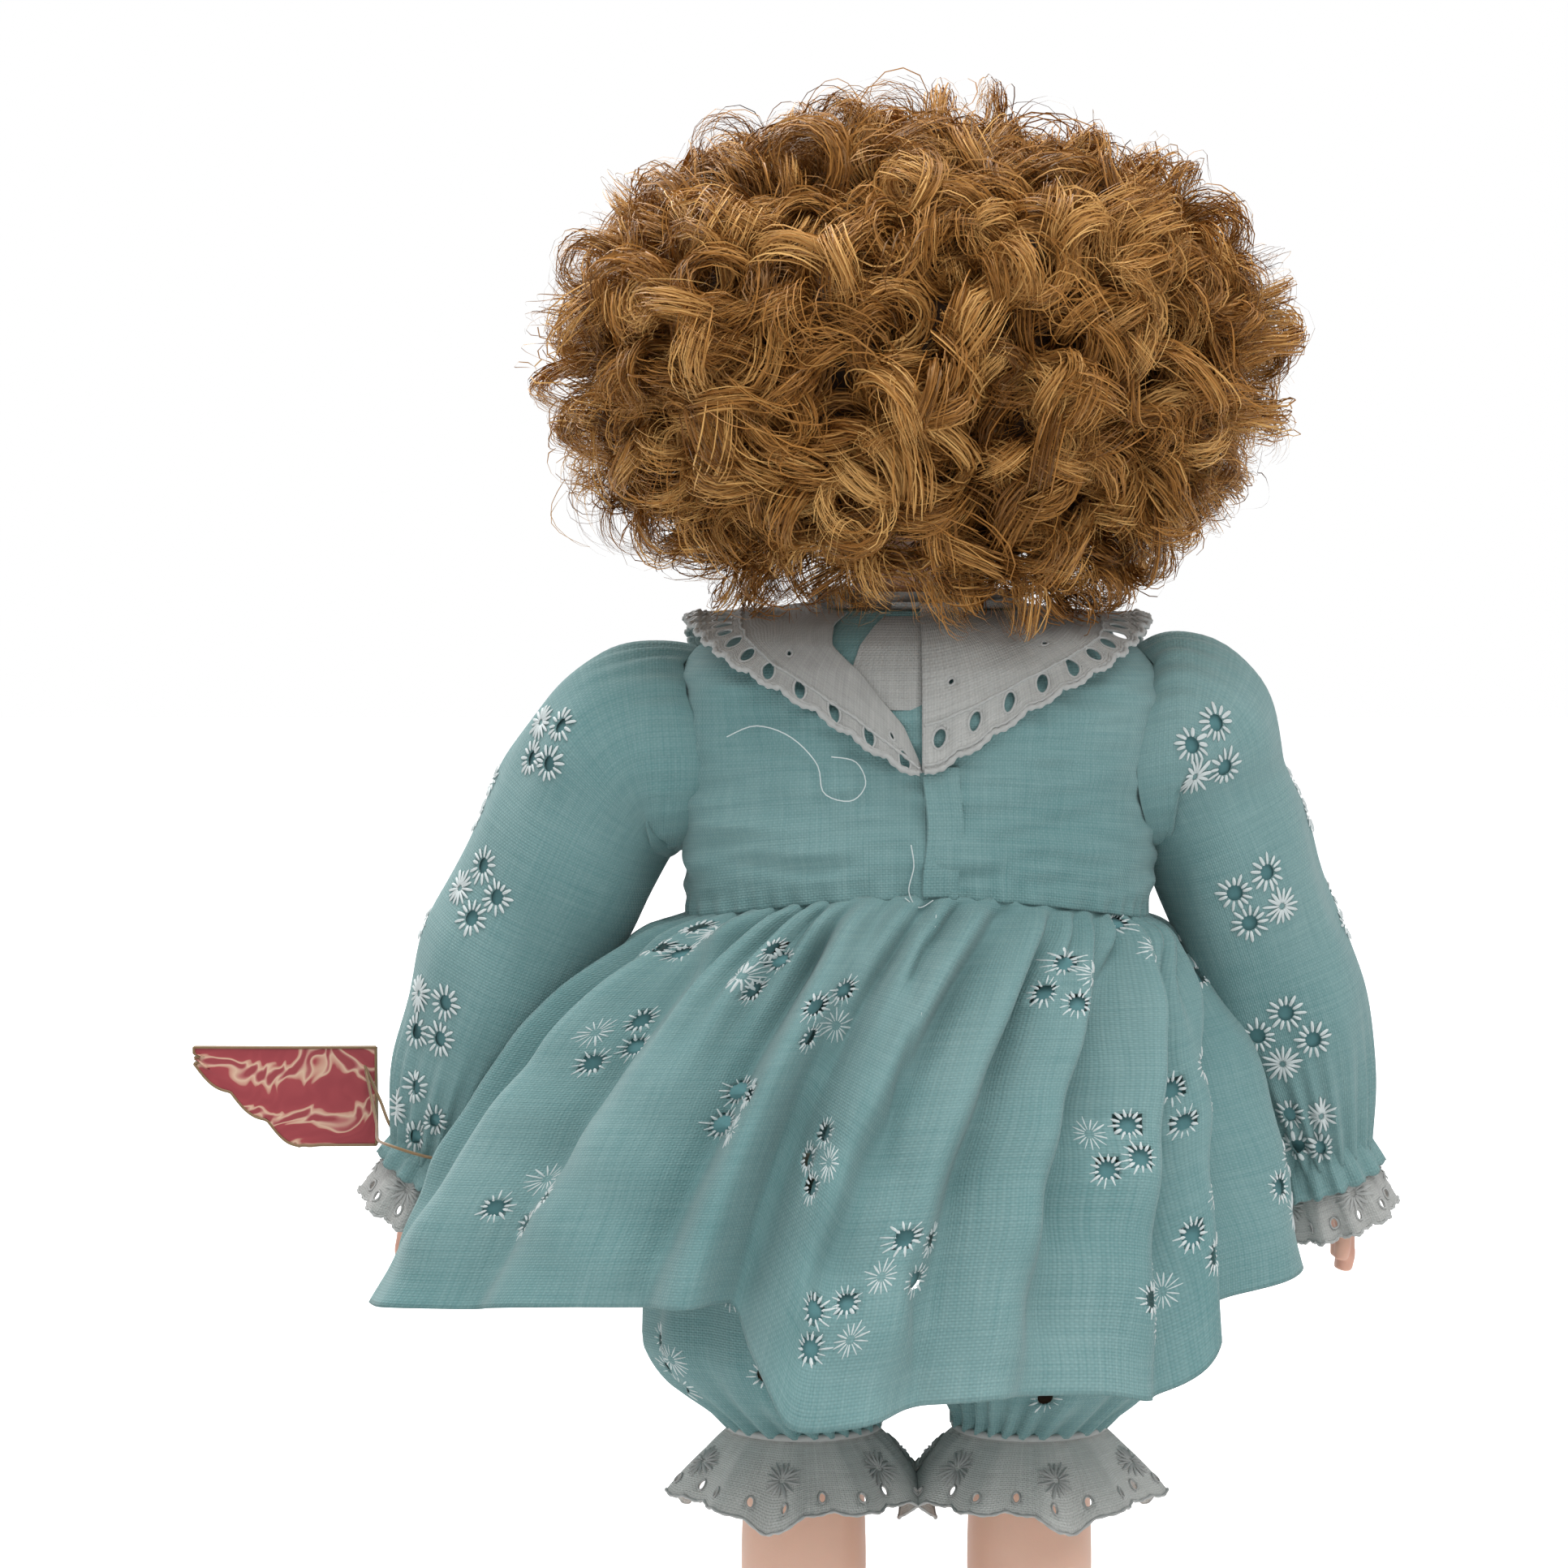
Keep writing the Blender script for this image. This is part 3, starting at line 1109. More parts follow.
HEAD_HOLLOWS = (
    ((12.5, -37.5, 327.5), (9, 7.6, 5.2), 3.5), ((-12.5, -37.5, 327.5), (9, 7.6, 5.2), 3.5),
    ((0, -34.6, 308.25), (5.2, 2.4, 0.45), 0.5))


def mass_distance(points, middle, half):
    scaled = np.linalg.norm((points - middle) / half, axis=-1)
    return (scaled - 1) * min(half)


def head_distance(points):
    """Less than nothing inside the head, from rounded masses joined and hollowed softly."""
    total = None
    for middle, half, soft in HEAD_MASSES:
        part = mass_distance(points, np.array(middle, float), half)
        if total is None:
            total = part
            continue
        mix = np.clip(0.5 + 0.5 * (total - part) / soft, 0, 1)
        total = total * (1 - mix) + part * mix - soft * mix * (1 - mix)
    for middle, half, soft in HEAD_HOLLOWS:
        part = -mass_distance(points, np.array(middle, float), half)
        mix = np.clip(0.5 - 0.5 * (total - part) / soft, 0, 1)
        total = total * (1 - mix) + part * mix + soft * mix * (1 - mix)
    return total


def head_way(u, v):
    turn = TURN * u
    polar = math.pi * (0.01 + 0.98 * v)
    return np.stack([np.sin(polar) * np.sin(turn), -np.sin(polar) * np.cos(turn), np.cos(polar)], -1)


def head_shape(u, v):
    way = head_way(np.asarray(u, float), np.asarray(v, float))
    low, high = np.full(way.shape[:-1], 8.0), np.full(way.shape[:-1], 60.0)
    for _ in range(22):
        middle = (low + high) / 2
        inside = head_distance(HEAD_HEART + way * middle[..., None]) < 0
        low, high = np.where(inside, middle, low), np.where(inside, high, middle)
    return HEAD_HEART + way * ((low + high) / 2)[..., None]


def share_towards(x, z):
    """Where on the head's sheet a point of the face at x, z lies."""
    u, v = x / 200, 0.5
    for _ in range(30):
        point = head_shape(np.array([u]), np.array([v]))[0]
        u += (x - point[0]) / 230
        v -= (z - point[2]) / 130
    return u, v


def face_paint(points):
    """Painted colours of the porcelain: tinted skin, blush, lips and the lid and brow shadows."""
    x, y, z = np.abs(points[:, 0]), points[:, 1], points[:, 2]
    front = smooth(-y, 5, 16)
    skin = np.array(colour(226, 186, 164)[:3])
    blush = np.array(colour(206, 120, 104)[:3])
    lip = np.array(colour(170, 62, 62)[:3])
    shadow = np.array(colour(176, 120, 96)[:3])
    paint = np.tile(skin, (len(points), 1))

    def lay(tone, amount):
        nonlocal paint
        amount = (np.clip(amount, 0, 1) * front)[:, None]
        paint = paint * (1 - amount) + tone * amount

    lay(blush, 0.6 * np.exp(-((x - 17) / 8.5) ** 2 - ((z - 313) / 6.5) ** 2))
    lay(blush, 0.25 * np.exp(-(x / 7) ** 2 - ((z - 299) / 4) ** 2))
    lay(shadow, 0.35 * np.exp(-((x - 12.5) / 8) ** 2 - ((z - 333.5) / 2.2) ** 2))
    bow = 308.9 + 1.6 * np.exp(-((x - 1.9) / 1.6) ** 2)
    upper = smooth(bow - z, -0.25, 0.25) * smooth(z - 308.2, -0.2, 0.2) * smooth(5.2 - x, -0.3, 1.2)
    dip = 305.9 + 0.09 * x ** 2
    lower = smooth(z - dip, -0.3, 0.3) * smooth(308.3 - z, -0.2, 0.2) * smooth(4.6 - x, -0.3, 0.8)
    mouth = np.clip(upper + lower, 0, 1)
    lay(lip, 0.75 * mouth)
    lay(lip * 0.35, 0.8 * np.exp(-((z - 308.2 - 0.02 * x) / 0.28) ** 2) * smooth(6.2 - x, 0, 0.8))
    lay(blush * 0.8, 0.75 * np.exp(-((x - 2.1) / 0.9) ** 2 - ((z - 315.1) / 0.6) ** 2))
    lay(blush * 0.9, 0.8 * np.exp(-((x - 6.6) / 0.6) ** 2 - ((z - 325.4) / 0.6) ** 2))
    return paint


def bisque_finish():
    """Matt fired porcelain, with a painted tint and a fine tooth."""
    material, nodes, links, shader = new_material("bisque_porcelain")
    tint = nodes.new("ShaderNodeAttribute")
    tint.attribute_name = "Paint"
    where = nodes.new("ShaderNodeTexCoord")
    patch = place_group(nodes, PATCHES)
    patch.inputs["Scale"].default_value = 45.0
    links.new(where.outputs["Object"], patch.inputs["Place"])
    shade = nodes.new("ShaderNodeHueSaturation")
    uneven = math_node(nodes, links, "MULTIPLY", patch.outputs["Patch"], 0.22)
    links.new(math_node(nodes, links, "ADD", uneven, 1.0), shade.inputs["Value"])
    links.new(tint.outputs["Color"], shade.inputs["Color"])
    links.new(shade.outputs[0], shader.inputs["Base Color"])
    tooth = place_group(nodes, PATCHES)
    tooth.inputs["Scale"].default_value = 1800.0
    links.new(where.outputs["Object"], tooth.inputs["Place"])
    raised = nodes.new("ShaderNodeBump")
    raised.inputs["Strength"].default_value = 0.12
    raised.inputs["Distance"].default_value = 0.0002
    links.new(tooth.outputs["Patch"], raised.inputs["Height"])
    links.new(raised.outputs[0], shader.inputs["Normal"])
    shader.inputs["Roughness"].default_value = 0.48
    shader.inputs["Subsurface Weight"].default_value = 0.12
    shader.inputs["Subsurface Scale"].default_value = 0.002
    return material


def paint_on(piece, colours):
    layer = piece.data.color_attributes.new("Paint", "FLOAT_COLOR", "POINT")
    rgba = np.ones((len(colours), 4), np.float32)
    rgba[:, :3] = colours
    layer.data.foreach_set("color", rgba.ravel())


def points_of(piece):
    points = np.empty(len(piece.data.vertices) * 3, np.float32)
    piece.data.vertices.foreach_get("co", points)
    return (points.reshape(-1, 3) - (AXIS_X, 0, 0)) * 1000


def plain_skin(piece, blush_at=None, reach=6.0):
    points = points_of(piece)
    skin, blush = np.array(colour(224, 182, 160)[:3]), np.array(colour(204, 128, 110)[:3])
    tone = np.tile(skin, (len(points), 1))
    if blush_at is not None:
        gap = np.linalg.norm(points - blush_at, axis=1)
        amount = (0.45 * np.exp(-(gap / reach) ** 2))[:, None]
        tone = tone * (1 - amount) + blush * amount
    paint_on(piece, tone)


BISQUE = bisque_finish()
FACE_PAINT = thread_finish("painted_brown", colour(84, 52, 30), 0.4)


def head():
    eyes = []
    for side in (1, -1):
        u, v = share_towards(side * EYE_X, EYE_Z)
        eyes.append((u % 1, v, 6.3, 4.1))
    piece = cloth("bisque_head", head_shape, (400, 230), (220, 110), closed=True, holes=eyes, flip=True)
    paint_on(piece, face_paint(points_of(piece)))
    thicken(piece, 1.5, 1.0)
    finish_piece(piece, BISQUE, "head", ["porcelain_head"])
    lids, lashes, lash_r, brows, brow_r = [], [], [], [], []
    turn = np.linspace(0, TURN, 49)
    for (u, v, half_u, half_v), side in zip(eyes, (1, -1)):
        _, _, across, down = surface_frame(head_shape, u, v)
        lid_u, lid_v = u + half_u * np.cos(turn) / across[0], v - half_v * np.sin(turn) / down[0]
        rim, _, _, _ = surface_frame(head_shape, lid_u, lid_v)
        lids.append(rim)
        for k, angle in enumerate(np.radians(np.linspace(28, 152, 15))):
            root = rim[int(round(angle / TURN * 48))]
            fan = np.array([math.cos(angle) * 0.9, -1.0, 0.55 * math.sin(angle) + 0.25])
            t = np.linspace(0, 1, 6)[:, None]
            lashes.append(root + fan * 3.3 * t + np.array([0, 0, 1.2]) * t ** 2 + (0, -0.2, 0))
            lash_r.append(0.2 * (1 - 0.8 * t[:, 0]))
        for k, angle in enumerate(np.radians(np.linspace(205, 335, 9))):
            at_u = u + np.array([1.06, 1.3]) * half_u * math.cos(angle) / across[0]
            at_v = v - np.array([1.06, 1.42]) * half_v * math.sin(angle) / down[0]
            ends, _, _, _ = surface_frame(head_shape, at_u, at_v)
            lashes.append(np.linspace(ends[0], ends[1], 4) + (0, -0.12, 0))
            lash_r.append(np.array([0.12, 0.1, 0.07, 0.03]))
        for k in range(16):
            t = k / 15
            x = side * (5.5 + 13.5 * t)
            z = 336.2 + 3.4 * math.sin(math.pi * (0.12 + 0.78 * t)) - 1.6 * t
            a_u, a_v = share_towards(x, z - 0.9)
            b_u, b_v = share_towards(x + side * (1.9 + 0.6 * t), z + 1.1 - 1.3 * t)
            ends, _, _, _ = surface_frame(head_shape, np.array([a_u, b_u]) % 1, np.array([a_v, b_v]))
            brows.append(np.linspace(ends[0], ends[1], 4) + (0, -0.22, 0))
            brow_r.append(np.array([0.14, 0.34, 0.3, 0.1]))
    rims = tube_set("eyelid_edges", lids, [0.26 + 0.26 * np.maximum(0, np.sin(turn))] * 2, 6)
    finish_piece(rims, FACE_PAINT, "head")
    hair = tube_set("eyelashes", lashes, lash_r, 4)
    finish_piece(hair, FACE_PAINT, "head")
    strokes = tube_set("painted_brows", brows, brow_r, 4)
    finish_piece(strokes, BROW_PAINT, "head")

    def neck_shape(u, v):
        turns = TURN * np.asarray(u, float)
        v = np.asarray(v, float)
        size = np.interp(v, (0, 0.35, 0.75, 1), (15.5, 12.6, 12.2, 12.6))
        return np.stack([size * np.cos(turns), 1.5 - 1.5 * v + size * np.sin(turns), 309 - 27 * v], -1)

    neck = cloth("bisque_neck", neck_shape, (64, 24), (76, 27), closed=True, flip=True)
    plain_skin(neck)
    thicken(neck, 1.5, 1.0)
    finish_piece(neck, BISQUE, "head")


BROW_PAINT = thread_finish("brow_brown", colour(136, 90, 56), 0.45)


# ---------------------------------------------------------------- hands and legs

FINGERS = (  # from the wrist, in mm: forwards, inwards, down; then thickness
    (((-4.2, 0.0, 9), (-5.0, 0.6, 15), (-5.1, 2.2, 20.5), (-4.9, 3.8, 24)), 2.05),
    (((-1.5, -0.3, 10), (-1.7, 0.3, 16.5), (-1.7, 2.2, 22.5), (-1.6, 4.1, 26)), 2.15),
    (((1.3, -0.2, 10), (1.5, 0.4, 16), (1.6, 2.3, 21.8), (1.6, 4.1, 25)), 2.05),
    (((3.9, 0.2, 9), (4.5, 0.8, 14), (4.7, 2.5, 18.8), (4.6, 4.0, 21.5)), 1.8),
    (((-4.0, 1.2, 4), (-6.6, 3.2, 8.5), (-7.4, 4.8, 12.5), (-6.9, 5.9, 16)), 2.1),
)


def hands():
    t = np.linspace(0, 1, 14)
    from_end = 2 * np.clip(np.abs(t - 0.5), 0.42, 0.5) - 0.84
    closing = np.sqrt(np.clip(1 - from_end ** 2 / 0.16 ** 2, 0.0004, 1))
    for name, wrist, way, side in (("left", LEFT_WRIST, LEFT_WAY, 1), ("right", RIGHT_WRIST, RIGHT_WAY, -1)):
        ahead = np.array([0, 1.0, 0]) - way * way[1]
        ahead /= np.linalg.norm(ahead)
        inward = -np.cross(way, ahead)
        inward *= -np.sign(inward[0])

        def place(local):
            local = np.asarray(local, float)
            spots = (wrist + local[:, :1] * ahead + local[:, 1:2] * inward + local[:, 2:] * way)
            return spots * (side, 1, 1)

        tubes, radii = [], []
        for joints, thick in FINGERS:
            tubes.append(place(along(joints, t)))
            radii.append(thick * closing * (1 + 0.05 * np.cos(6 * math.pi * t)))
        for forwards, thick in ((-2.4, 3.2), (0.0, 3.5), (2.4, 3.1)):
            tubes.append(place(along([(forwards * 0.5, 0, -2), (forwards, -0.2, 4), (forwards * 1.3, 0, 9),
                                      (forwards * 1.4, 0.4, 13)], t)))
            radii.append(thick * closing)
        tubes.append(place(along([(0, 0, -24), (0, 0, -16), (0, 0, -7), (0, 0, 2)], t)))
        radii.append(np.interp(t, (0, 0.4, 1), (7.0, 5.8, 4.6)) * closing)
        piece = tube_set(f"{name}_hand", tubes, radii, 14)
        merge = piece.modifiers.new("One casting", "REMESH")
        merge.mode = "VOXEL"
        merge.voxel_size = 0.0005
        merge.use_smooth_shade = True
        soft = piece.modifiers.new("Soft casting", "SMOOTH")
        soft.factor = 0.6
        soft.iterations = 5
        apply_modifiers(piece)
        plain_skin(piece, place([(0, 2, 21)])[0], 7)
        finish_piece(piece, BISQUE, f"{name}_arm", [f"{name}_forearm"])


def apply_modifiers(piece):
    """Bakes a piece's modifiers into its mesh."""
    graph = bpy.context.evaluated_depsgraph_get()
    made = bpy.data.meshes.new_from_object(piece.evaluated_get(graph))
    piece.modifiers.clear()
    piece.data = made


def legs():
    levels = np.array([0, 14, 28, 38, 50, 66, 84, 100, 114, 130], float)
    size = np.array([8.0, 8.2, 8.3, 8.6, 10.4, 12.6, 13.4, 12.9, 12.2, 12.4])
    lean = np.array([0, 0.2, 0.4, 0.6, 1.2, 1.8, 1.6, 0.9, 0.2, 0])
    for name, side in (("left", 1), ("right", -1)):
        def leg_shape(u, v):
            turn = TURN * np.asarray(u, float)
            z = 10 + 118 * np.asarray(v, float)
            girth = sum(np.interp(z + k, levels, size) for k in (-6, -3, 0, 3, 6)) / 5
            back = sum(np.interp(z + k, levels, lean) for k in (-6, -3, 0, 3, 6)) / 5
            knee = 0.8 * np.exp(-((z - 112) / 6) ** 2) * np.maximum(0, -np.sin(turn)) ** 2
            return np.stack([side * (HIP[0] + girth * np.cos(turn)),
                             HIP[1] + back + (girth + knee) * np.sin(turn), z], -1)

        piece = cloth(f"{name}_shin", leg_shape, (72, 90), (80, 118), closed=True, flip=side < 0)
        thicken(piece, 1.5)
        plain_skin(piece, np.array([side * HIP[0], HIP[1] - 12, 111]), 9)
        finish_piece(piece, BISQUE, f"{name}_leg", [f"{name}_lower_leg"])

        def sock_shape(u, v):
            turn = TURN * np.asarray(u, float)
            v = np.asarray(v, float)
            z = 50 - 34 * v
            girth = sum(np.interp(z + k, levels, size) for k in (-4, 0, 4)) / 3 + 0.7
            girth = girth + 0.25 * np.sin(34 * turn) + 0.5 * np.exp(-((z - 30 - 2 * np.sin(turn)) / 2.5) ** 2)
            back = sum(np.interp(z + k, levels, lean) for k in (-6, -3, 0, 3, 6)) / 5
            x = side * (HIP[0] + girth * np.cos(turn))
            return np.stack([x, HIP[1] + back + girth * np.sin(turn), z], -1)

        piece = cloth(f"{name}_sock_knit", sock_shape, (204, 30), (64, 34), closed=True, flip=side > 0)
        thicken(piece, 0.4, 1.0)
        finish_piece(piece, BRIGHT_LACE, f"{name}_leg", [f"{name}_sock"])
        ankle = np.array([HIP[0], HIP[1] + 1.2, 50.5])
        top = frill_shape_for(ankle, (0, 0, -1), side, 11.2, 15.0, 9.5, 11, 0.8)
        frill(f"{name}_sock_frill", top, (150, 14), (95, 10), f"{name}_leg", None, 12, 84, side)
        shoe_trim(name, side)


def shoe_trim(name, side):
    """The strap over the instep with its button, a bow on the toe and the edge stitching."""
    t = np.linspace(0, 1, 40)
    x0, y0 = HIP[0], HIP[1]
    sweep = np.radians(200 - 220 * t)
    strap = np.stack([side * (x0 + 10.6 * np.cos(sweep)), y0 - 2.5 - 8.6 * np.abs(np.sin(sweep)) ** 0.8,
                      17.5 + 9.5 * np.sin(sweep) ** 2], 1)
    band = tube_set(f"{name}_shoe_strap", [strap + (0, 0, k) for k in (-1.1, -0.4, 0.4, 1.1)],
                    [0.75] * 4, 8)
    finish_piece(band, SHOE, f"{name}_leg")
    dome = np.array([(side * (x0 + out), y0 - 4, 18.5) for out in (10.4, 11.0, 12.1, 12.4)])
    button = tube_set(f"{name}_shoe_button", [dome], [np.array([0.1, 1.9, 1.8, 0.1])], 16)
    finish_piece(button, THREAD_PEARL, f"{name}_leg")
    toe = np.array([side * x0, y0 - 24.5, 17.8])
    loops, radii = [], []
    for hand in (-1, 1):
        turn = np.linspace(0, TURN, 24)
        loops.append(toe + np.stack([hand * (3.2 - 3.2 * np.cos(turn)), 0.8 * np.sin(turn),
                                     2.2 * np.sin(turn) + 0.6], 1))
        radii.append(0.55)
        loops.append(toe + np.linspace(0, 1, 8)[:, None] * np.array([hand * 3.2, -5.5, -3.0]))
        radii.append(0.5)
    loops.append(toe + np.linspace(-1, 1, 6)[:, None] * np.array([0, 0.3, 1.2]) + (0, -0.2, 0.5))
    radii.append(1.1)
    bow = tube_set(f"{name}_shoe_bow", loops, radii, 7)
    finish_piece(bow, LACE_THREAD, f"{name}_leg")


def leather_finish(name, dark, light, rough):
    material, nodes, links, shader = new_material(name)
    where = nodes.new("ShaderNodeTexCoord")
    grain = nodes.new("ShaderNodeTexVoronoi")
    grain.inputs["Scale"].default_value = 900.0
    links.new(where.outputs["Object"], grain.inputs["Vector"])
    patch = place_group(nodes, PATCHES)
    patch.inputs["Scale"].default_value = 120.0
    links.new(where.outputs["Object"], patch.inputs["Place"])
    ramp = nodes.new("ShaderNodeValToRGB")
    ramp.color_ramp.elements[0].color = dark
    ramp.color_ramp.elements[1].color = light
    links.new(math_node(nodes, links, "ADD", patch.outputs["Patch"], 0.6), ramp.inputs[0])
    links.new(ramp.outputs[0], shader.inputs["Base Color"])
    raised = nodes.new("ShaderNodeBump")
    raised.inputs["Strength"].default_value = 0.3
    raised.inputs["Distance"].default_value = 0.0002
    links.new(grain.outputs["Distance"], raised.inputs["Height"])
    links.new(raised.outputs[0], shader.inputs["Normal"])
    shader.inputs["Roughness"].default_value = rough
    return material


SHOE = leather_finish("white_shoe_leather", colour(196, 194, 188), colour(236, 234, 228), 0.35)
SOLE = leather_finish("sole_leather_tan", colour(96, 66, 42), colour(146, 108, 74), 0.7)
THREAD_PEARL = leather_finish("pearl_button", colour(214, 210, 204), colour(246, 244, 240), 0.15)


# ---------------------------------------------------------------- glass eyes and the hang card

def eye_finish():
    """Glass eye: white, ringed hazel iris with rays, and a dark pupil, facing forwards."""
    material, nodes, links, shader = new_material("glass_eye")
    where = nodes.new("ShaderNodeTexCoord")
    split = nodes.new("ShaderNodeSeparateXYZ")
    links.new(where.outputs["Object"], split.inputs[0])
    across = math_node(nodes, links, "SUBTRACT", split.outputs[0], AXIS_X)
    from_axis = math_node(nodes, links, "ABSOLUTE", across)
    x = math_node(nodes, links, "SUBTRACT", from_axis, EYE_X / 1000)
    z = math_node(nodes, links, "SUBTRACT", split.outputs[2], EYE_Z / 1000)
    squares = math_node(nodes, links, "ADD", math_node(nodes, links, "MULTIPLY", x, x),
                        math_node(nodes, links, "MULTIPLY", z, z))
    reach = math_node(nodes, links, "MULTIPLY", math_node(nodes, links, "SQRT", squares), 1000 / 8)
    rays = math_node(nodes, links, "SINE", math_node(
        nodes, links, "MULTIPLY", math_node(nodes, links, "ARCTAN2", x, z), 36.0))
    ramp = nodes.new("ShaderNodeValToRGB")
    ramp.color_ramp.interpolation = "LINEAR"
    stops = ((0.0, (8, 6, 6)), (0.19, (10, 8, 8)), (0.22, (62, 92, 116)), (0.38, (96, 138, 164)),
             (0.46, (40, 62, 84)), (0.49, (30, 40, 52)), (0.53, (226, 224, 220)), (1.0, (236, 232, 226)))
    ramp.color_ramp.elements[0].color = colour(*stops[0][1])
    ramp.color_ramp.elements[1].color = colour(*stops[-1][1])
    for position, tone in stops[1:-1]:
        ramp.color_ramp.elements.new(position).color = colour(*tone)
    frayed = math_node(nodes, links, "MULTIPLY", rays, 0.006)
    links.new(math_node(nodes, links, "ADD", reach, frayed), ramp.inputs[0])
    links.new(ramp.outputs[0], shader.inputs["Base Color"])
    shader.inputs["Roughness"].default_value = 0.06
    shader.inputs["Coat Weight"].default_value = 0.8
    return material


def card_finish():
    """Printed card: leafy scrolls in cream and rose on red, with a worn gold edge."""
    material, nodes, links, shader = new_material("printed_card")
    where = nodes.new("ShaderNodeTexCoord")
    bend = nodes.new("ShaderNodeTexNoise")
    bend.inputs["Scale"].default_value = 60.0
    bend.inputs["Detail"].default_value = 2.0
    links.new(where.outputs["Object"], bend.inputs["Vector"])
    mixed = nodes.new("ShaderNodeVectorMath")
    mixed.operation = "MULTIPLY_ADD"
    links.new(bend.outputs["Color"], mixed.inputs[0])
    mixed.inputs[1].default_value = (0.024, 0.0, 0.024)
    links.new(where.outputs["Object"], mixed.inputs[2])
    scroll = nodes.new("ShaderNodeTexWave")
    scroll.wave_type = "RINGS"
    scroll.inputs["Scale"].default_value = 34.0
    scroll.inputs["Distortion"].default_value = 3.0
    scroll.inputs["Detail"].default_value = 1.5
    links.new(mixed.outputs[0], scroll.inputs["Vector"])
    leaf = nodes.new("ShaderNodeTexWave")
    leaf.bands_direction = "DIAGONAL"
    leaf.inputs["Scale"].default_value = 150.0
    leaf.inputs["Distortion"].default_value = 6.0
    links.new(mixed.outputs[0], leaf.inputs["Vector"])
    ramp = nodes.new("ShaderNodeValToRGB")
    stops = ((0.0, (150, 52, 60)), (0.5, (160, 60, 66)), (0.6, (196, 140, 122)), (0.78, (212, 178, 152)),
             (0.9, (178, 104, 100)), (1.0, (150, 56, 62)))
    ramp.color_ramp.elements[0].color = colour(*stops[0][1])
    ramp.color_ramp.elements[1].color = colour(*stops[-1][1])
    for position, tone in stops[1:-1]:
        ramp.color_ramp.elements.new(position).color = colour(*tone)
    veins = math_node(nodes, links, "SUBTRACT", leaf.outputs["Fac"], 0.5)
    veins = math_node(nodes, links, "MULTIPLY", veins, 0.3)
    shade = math_node(nodes, links, "ADD", scroll.outputs["Fac"], veins)
    links.new(shade, ramp.inputs[0])
    links.new(ramp.outputs[0], shader.inputs["Base Color"])
    raised = nodes.new("ShaderNodeBump")
    raised.inputs["Strength"].default_value = 0.15
    raised.inputs["Distance"].default_value = 0.0002
    links.new(scroll.outputs["Fac"], raised.inputs["Height"])
    links.new(raised.outputs[0], shader.inputs["Normal"])
    shader.inputs["Roughness"].default_value = 0.45
    return material


def metal_finish():
    material, nodes, links, shader = new_material("neck_steel")
    where = nodes.new("ShaderNodeTexCoord")
    patch = place_group(nodes, PATCHES)
    patch.inputs["Scale"].default_value = 400.0
    links.new(where.outputs["Object"], patch.inputs["Place"])
    links.new(math_node(nodes, links, "ADD", patch.outputs["Patch"], 0.4), shader.inputs["Roughness"])
    shader.inputs["Base Color"].default_value = colour(170, 170, 172)
    shader.inputs["Metallic"].default_value = 1.0
    return material


def dress_cad_nodes():
    """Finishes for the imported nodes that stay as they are."""
    finishes = {
        "bisque": thread_finish("bisque_plate", colour(224, 182, 160), 0.5),
        "eye_glass": eye_finish(), "plaster": thread_finish("plaster", colour(222, 216, 204), 0.8),
        "cork": thread_finish("cork_pate", colour(176, 132, 92), 0.85),
        "wig_net": thread_finish("wig_net", colour(70, 46, 26), 0.8), "curls": CURLS_BASE,
        "steel": metal_finish(), "turned_wood": thread_finish("turned_wood", colour(190, 150, 104), 0.6),
        "body_cloth": thread_finish("muslin_body", colour(214, 200, 178), 0.85),
        "stuffing": thread_finish("stuffing", colour(226, 222, 214), 0.95),
        "thread": WHITE_THREAD, "aqua_cotton": AQUA_FLATLESS, "white_eyelet": LACE_THREAD,
        "white_cotton": LACE_THREAD, "elastic": LACE_THREAD, "shoe_leather": SHOE, "sole_leather": SOLE,
        "card_stock": CARD,
    }
    for node in frame["nodes"].values():
        for place in node.material_slots:
            place.material = finishes[place.material.name.split(".")[0]]


AQUA_FLATLESS = thread_finish("aqua_cloth_inside", colour(96, 140, 144), 0.85)
AQUA_SHADE = thread_finish("aqua_lining", colour(92, 142, 146), 0.85)


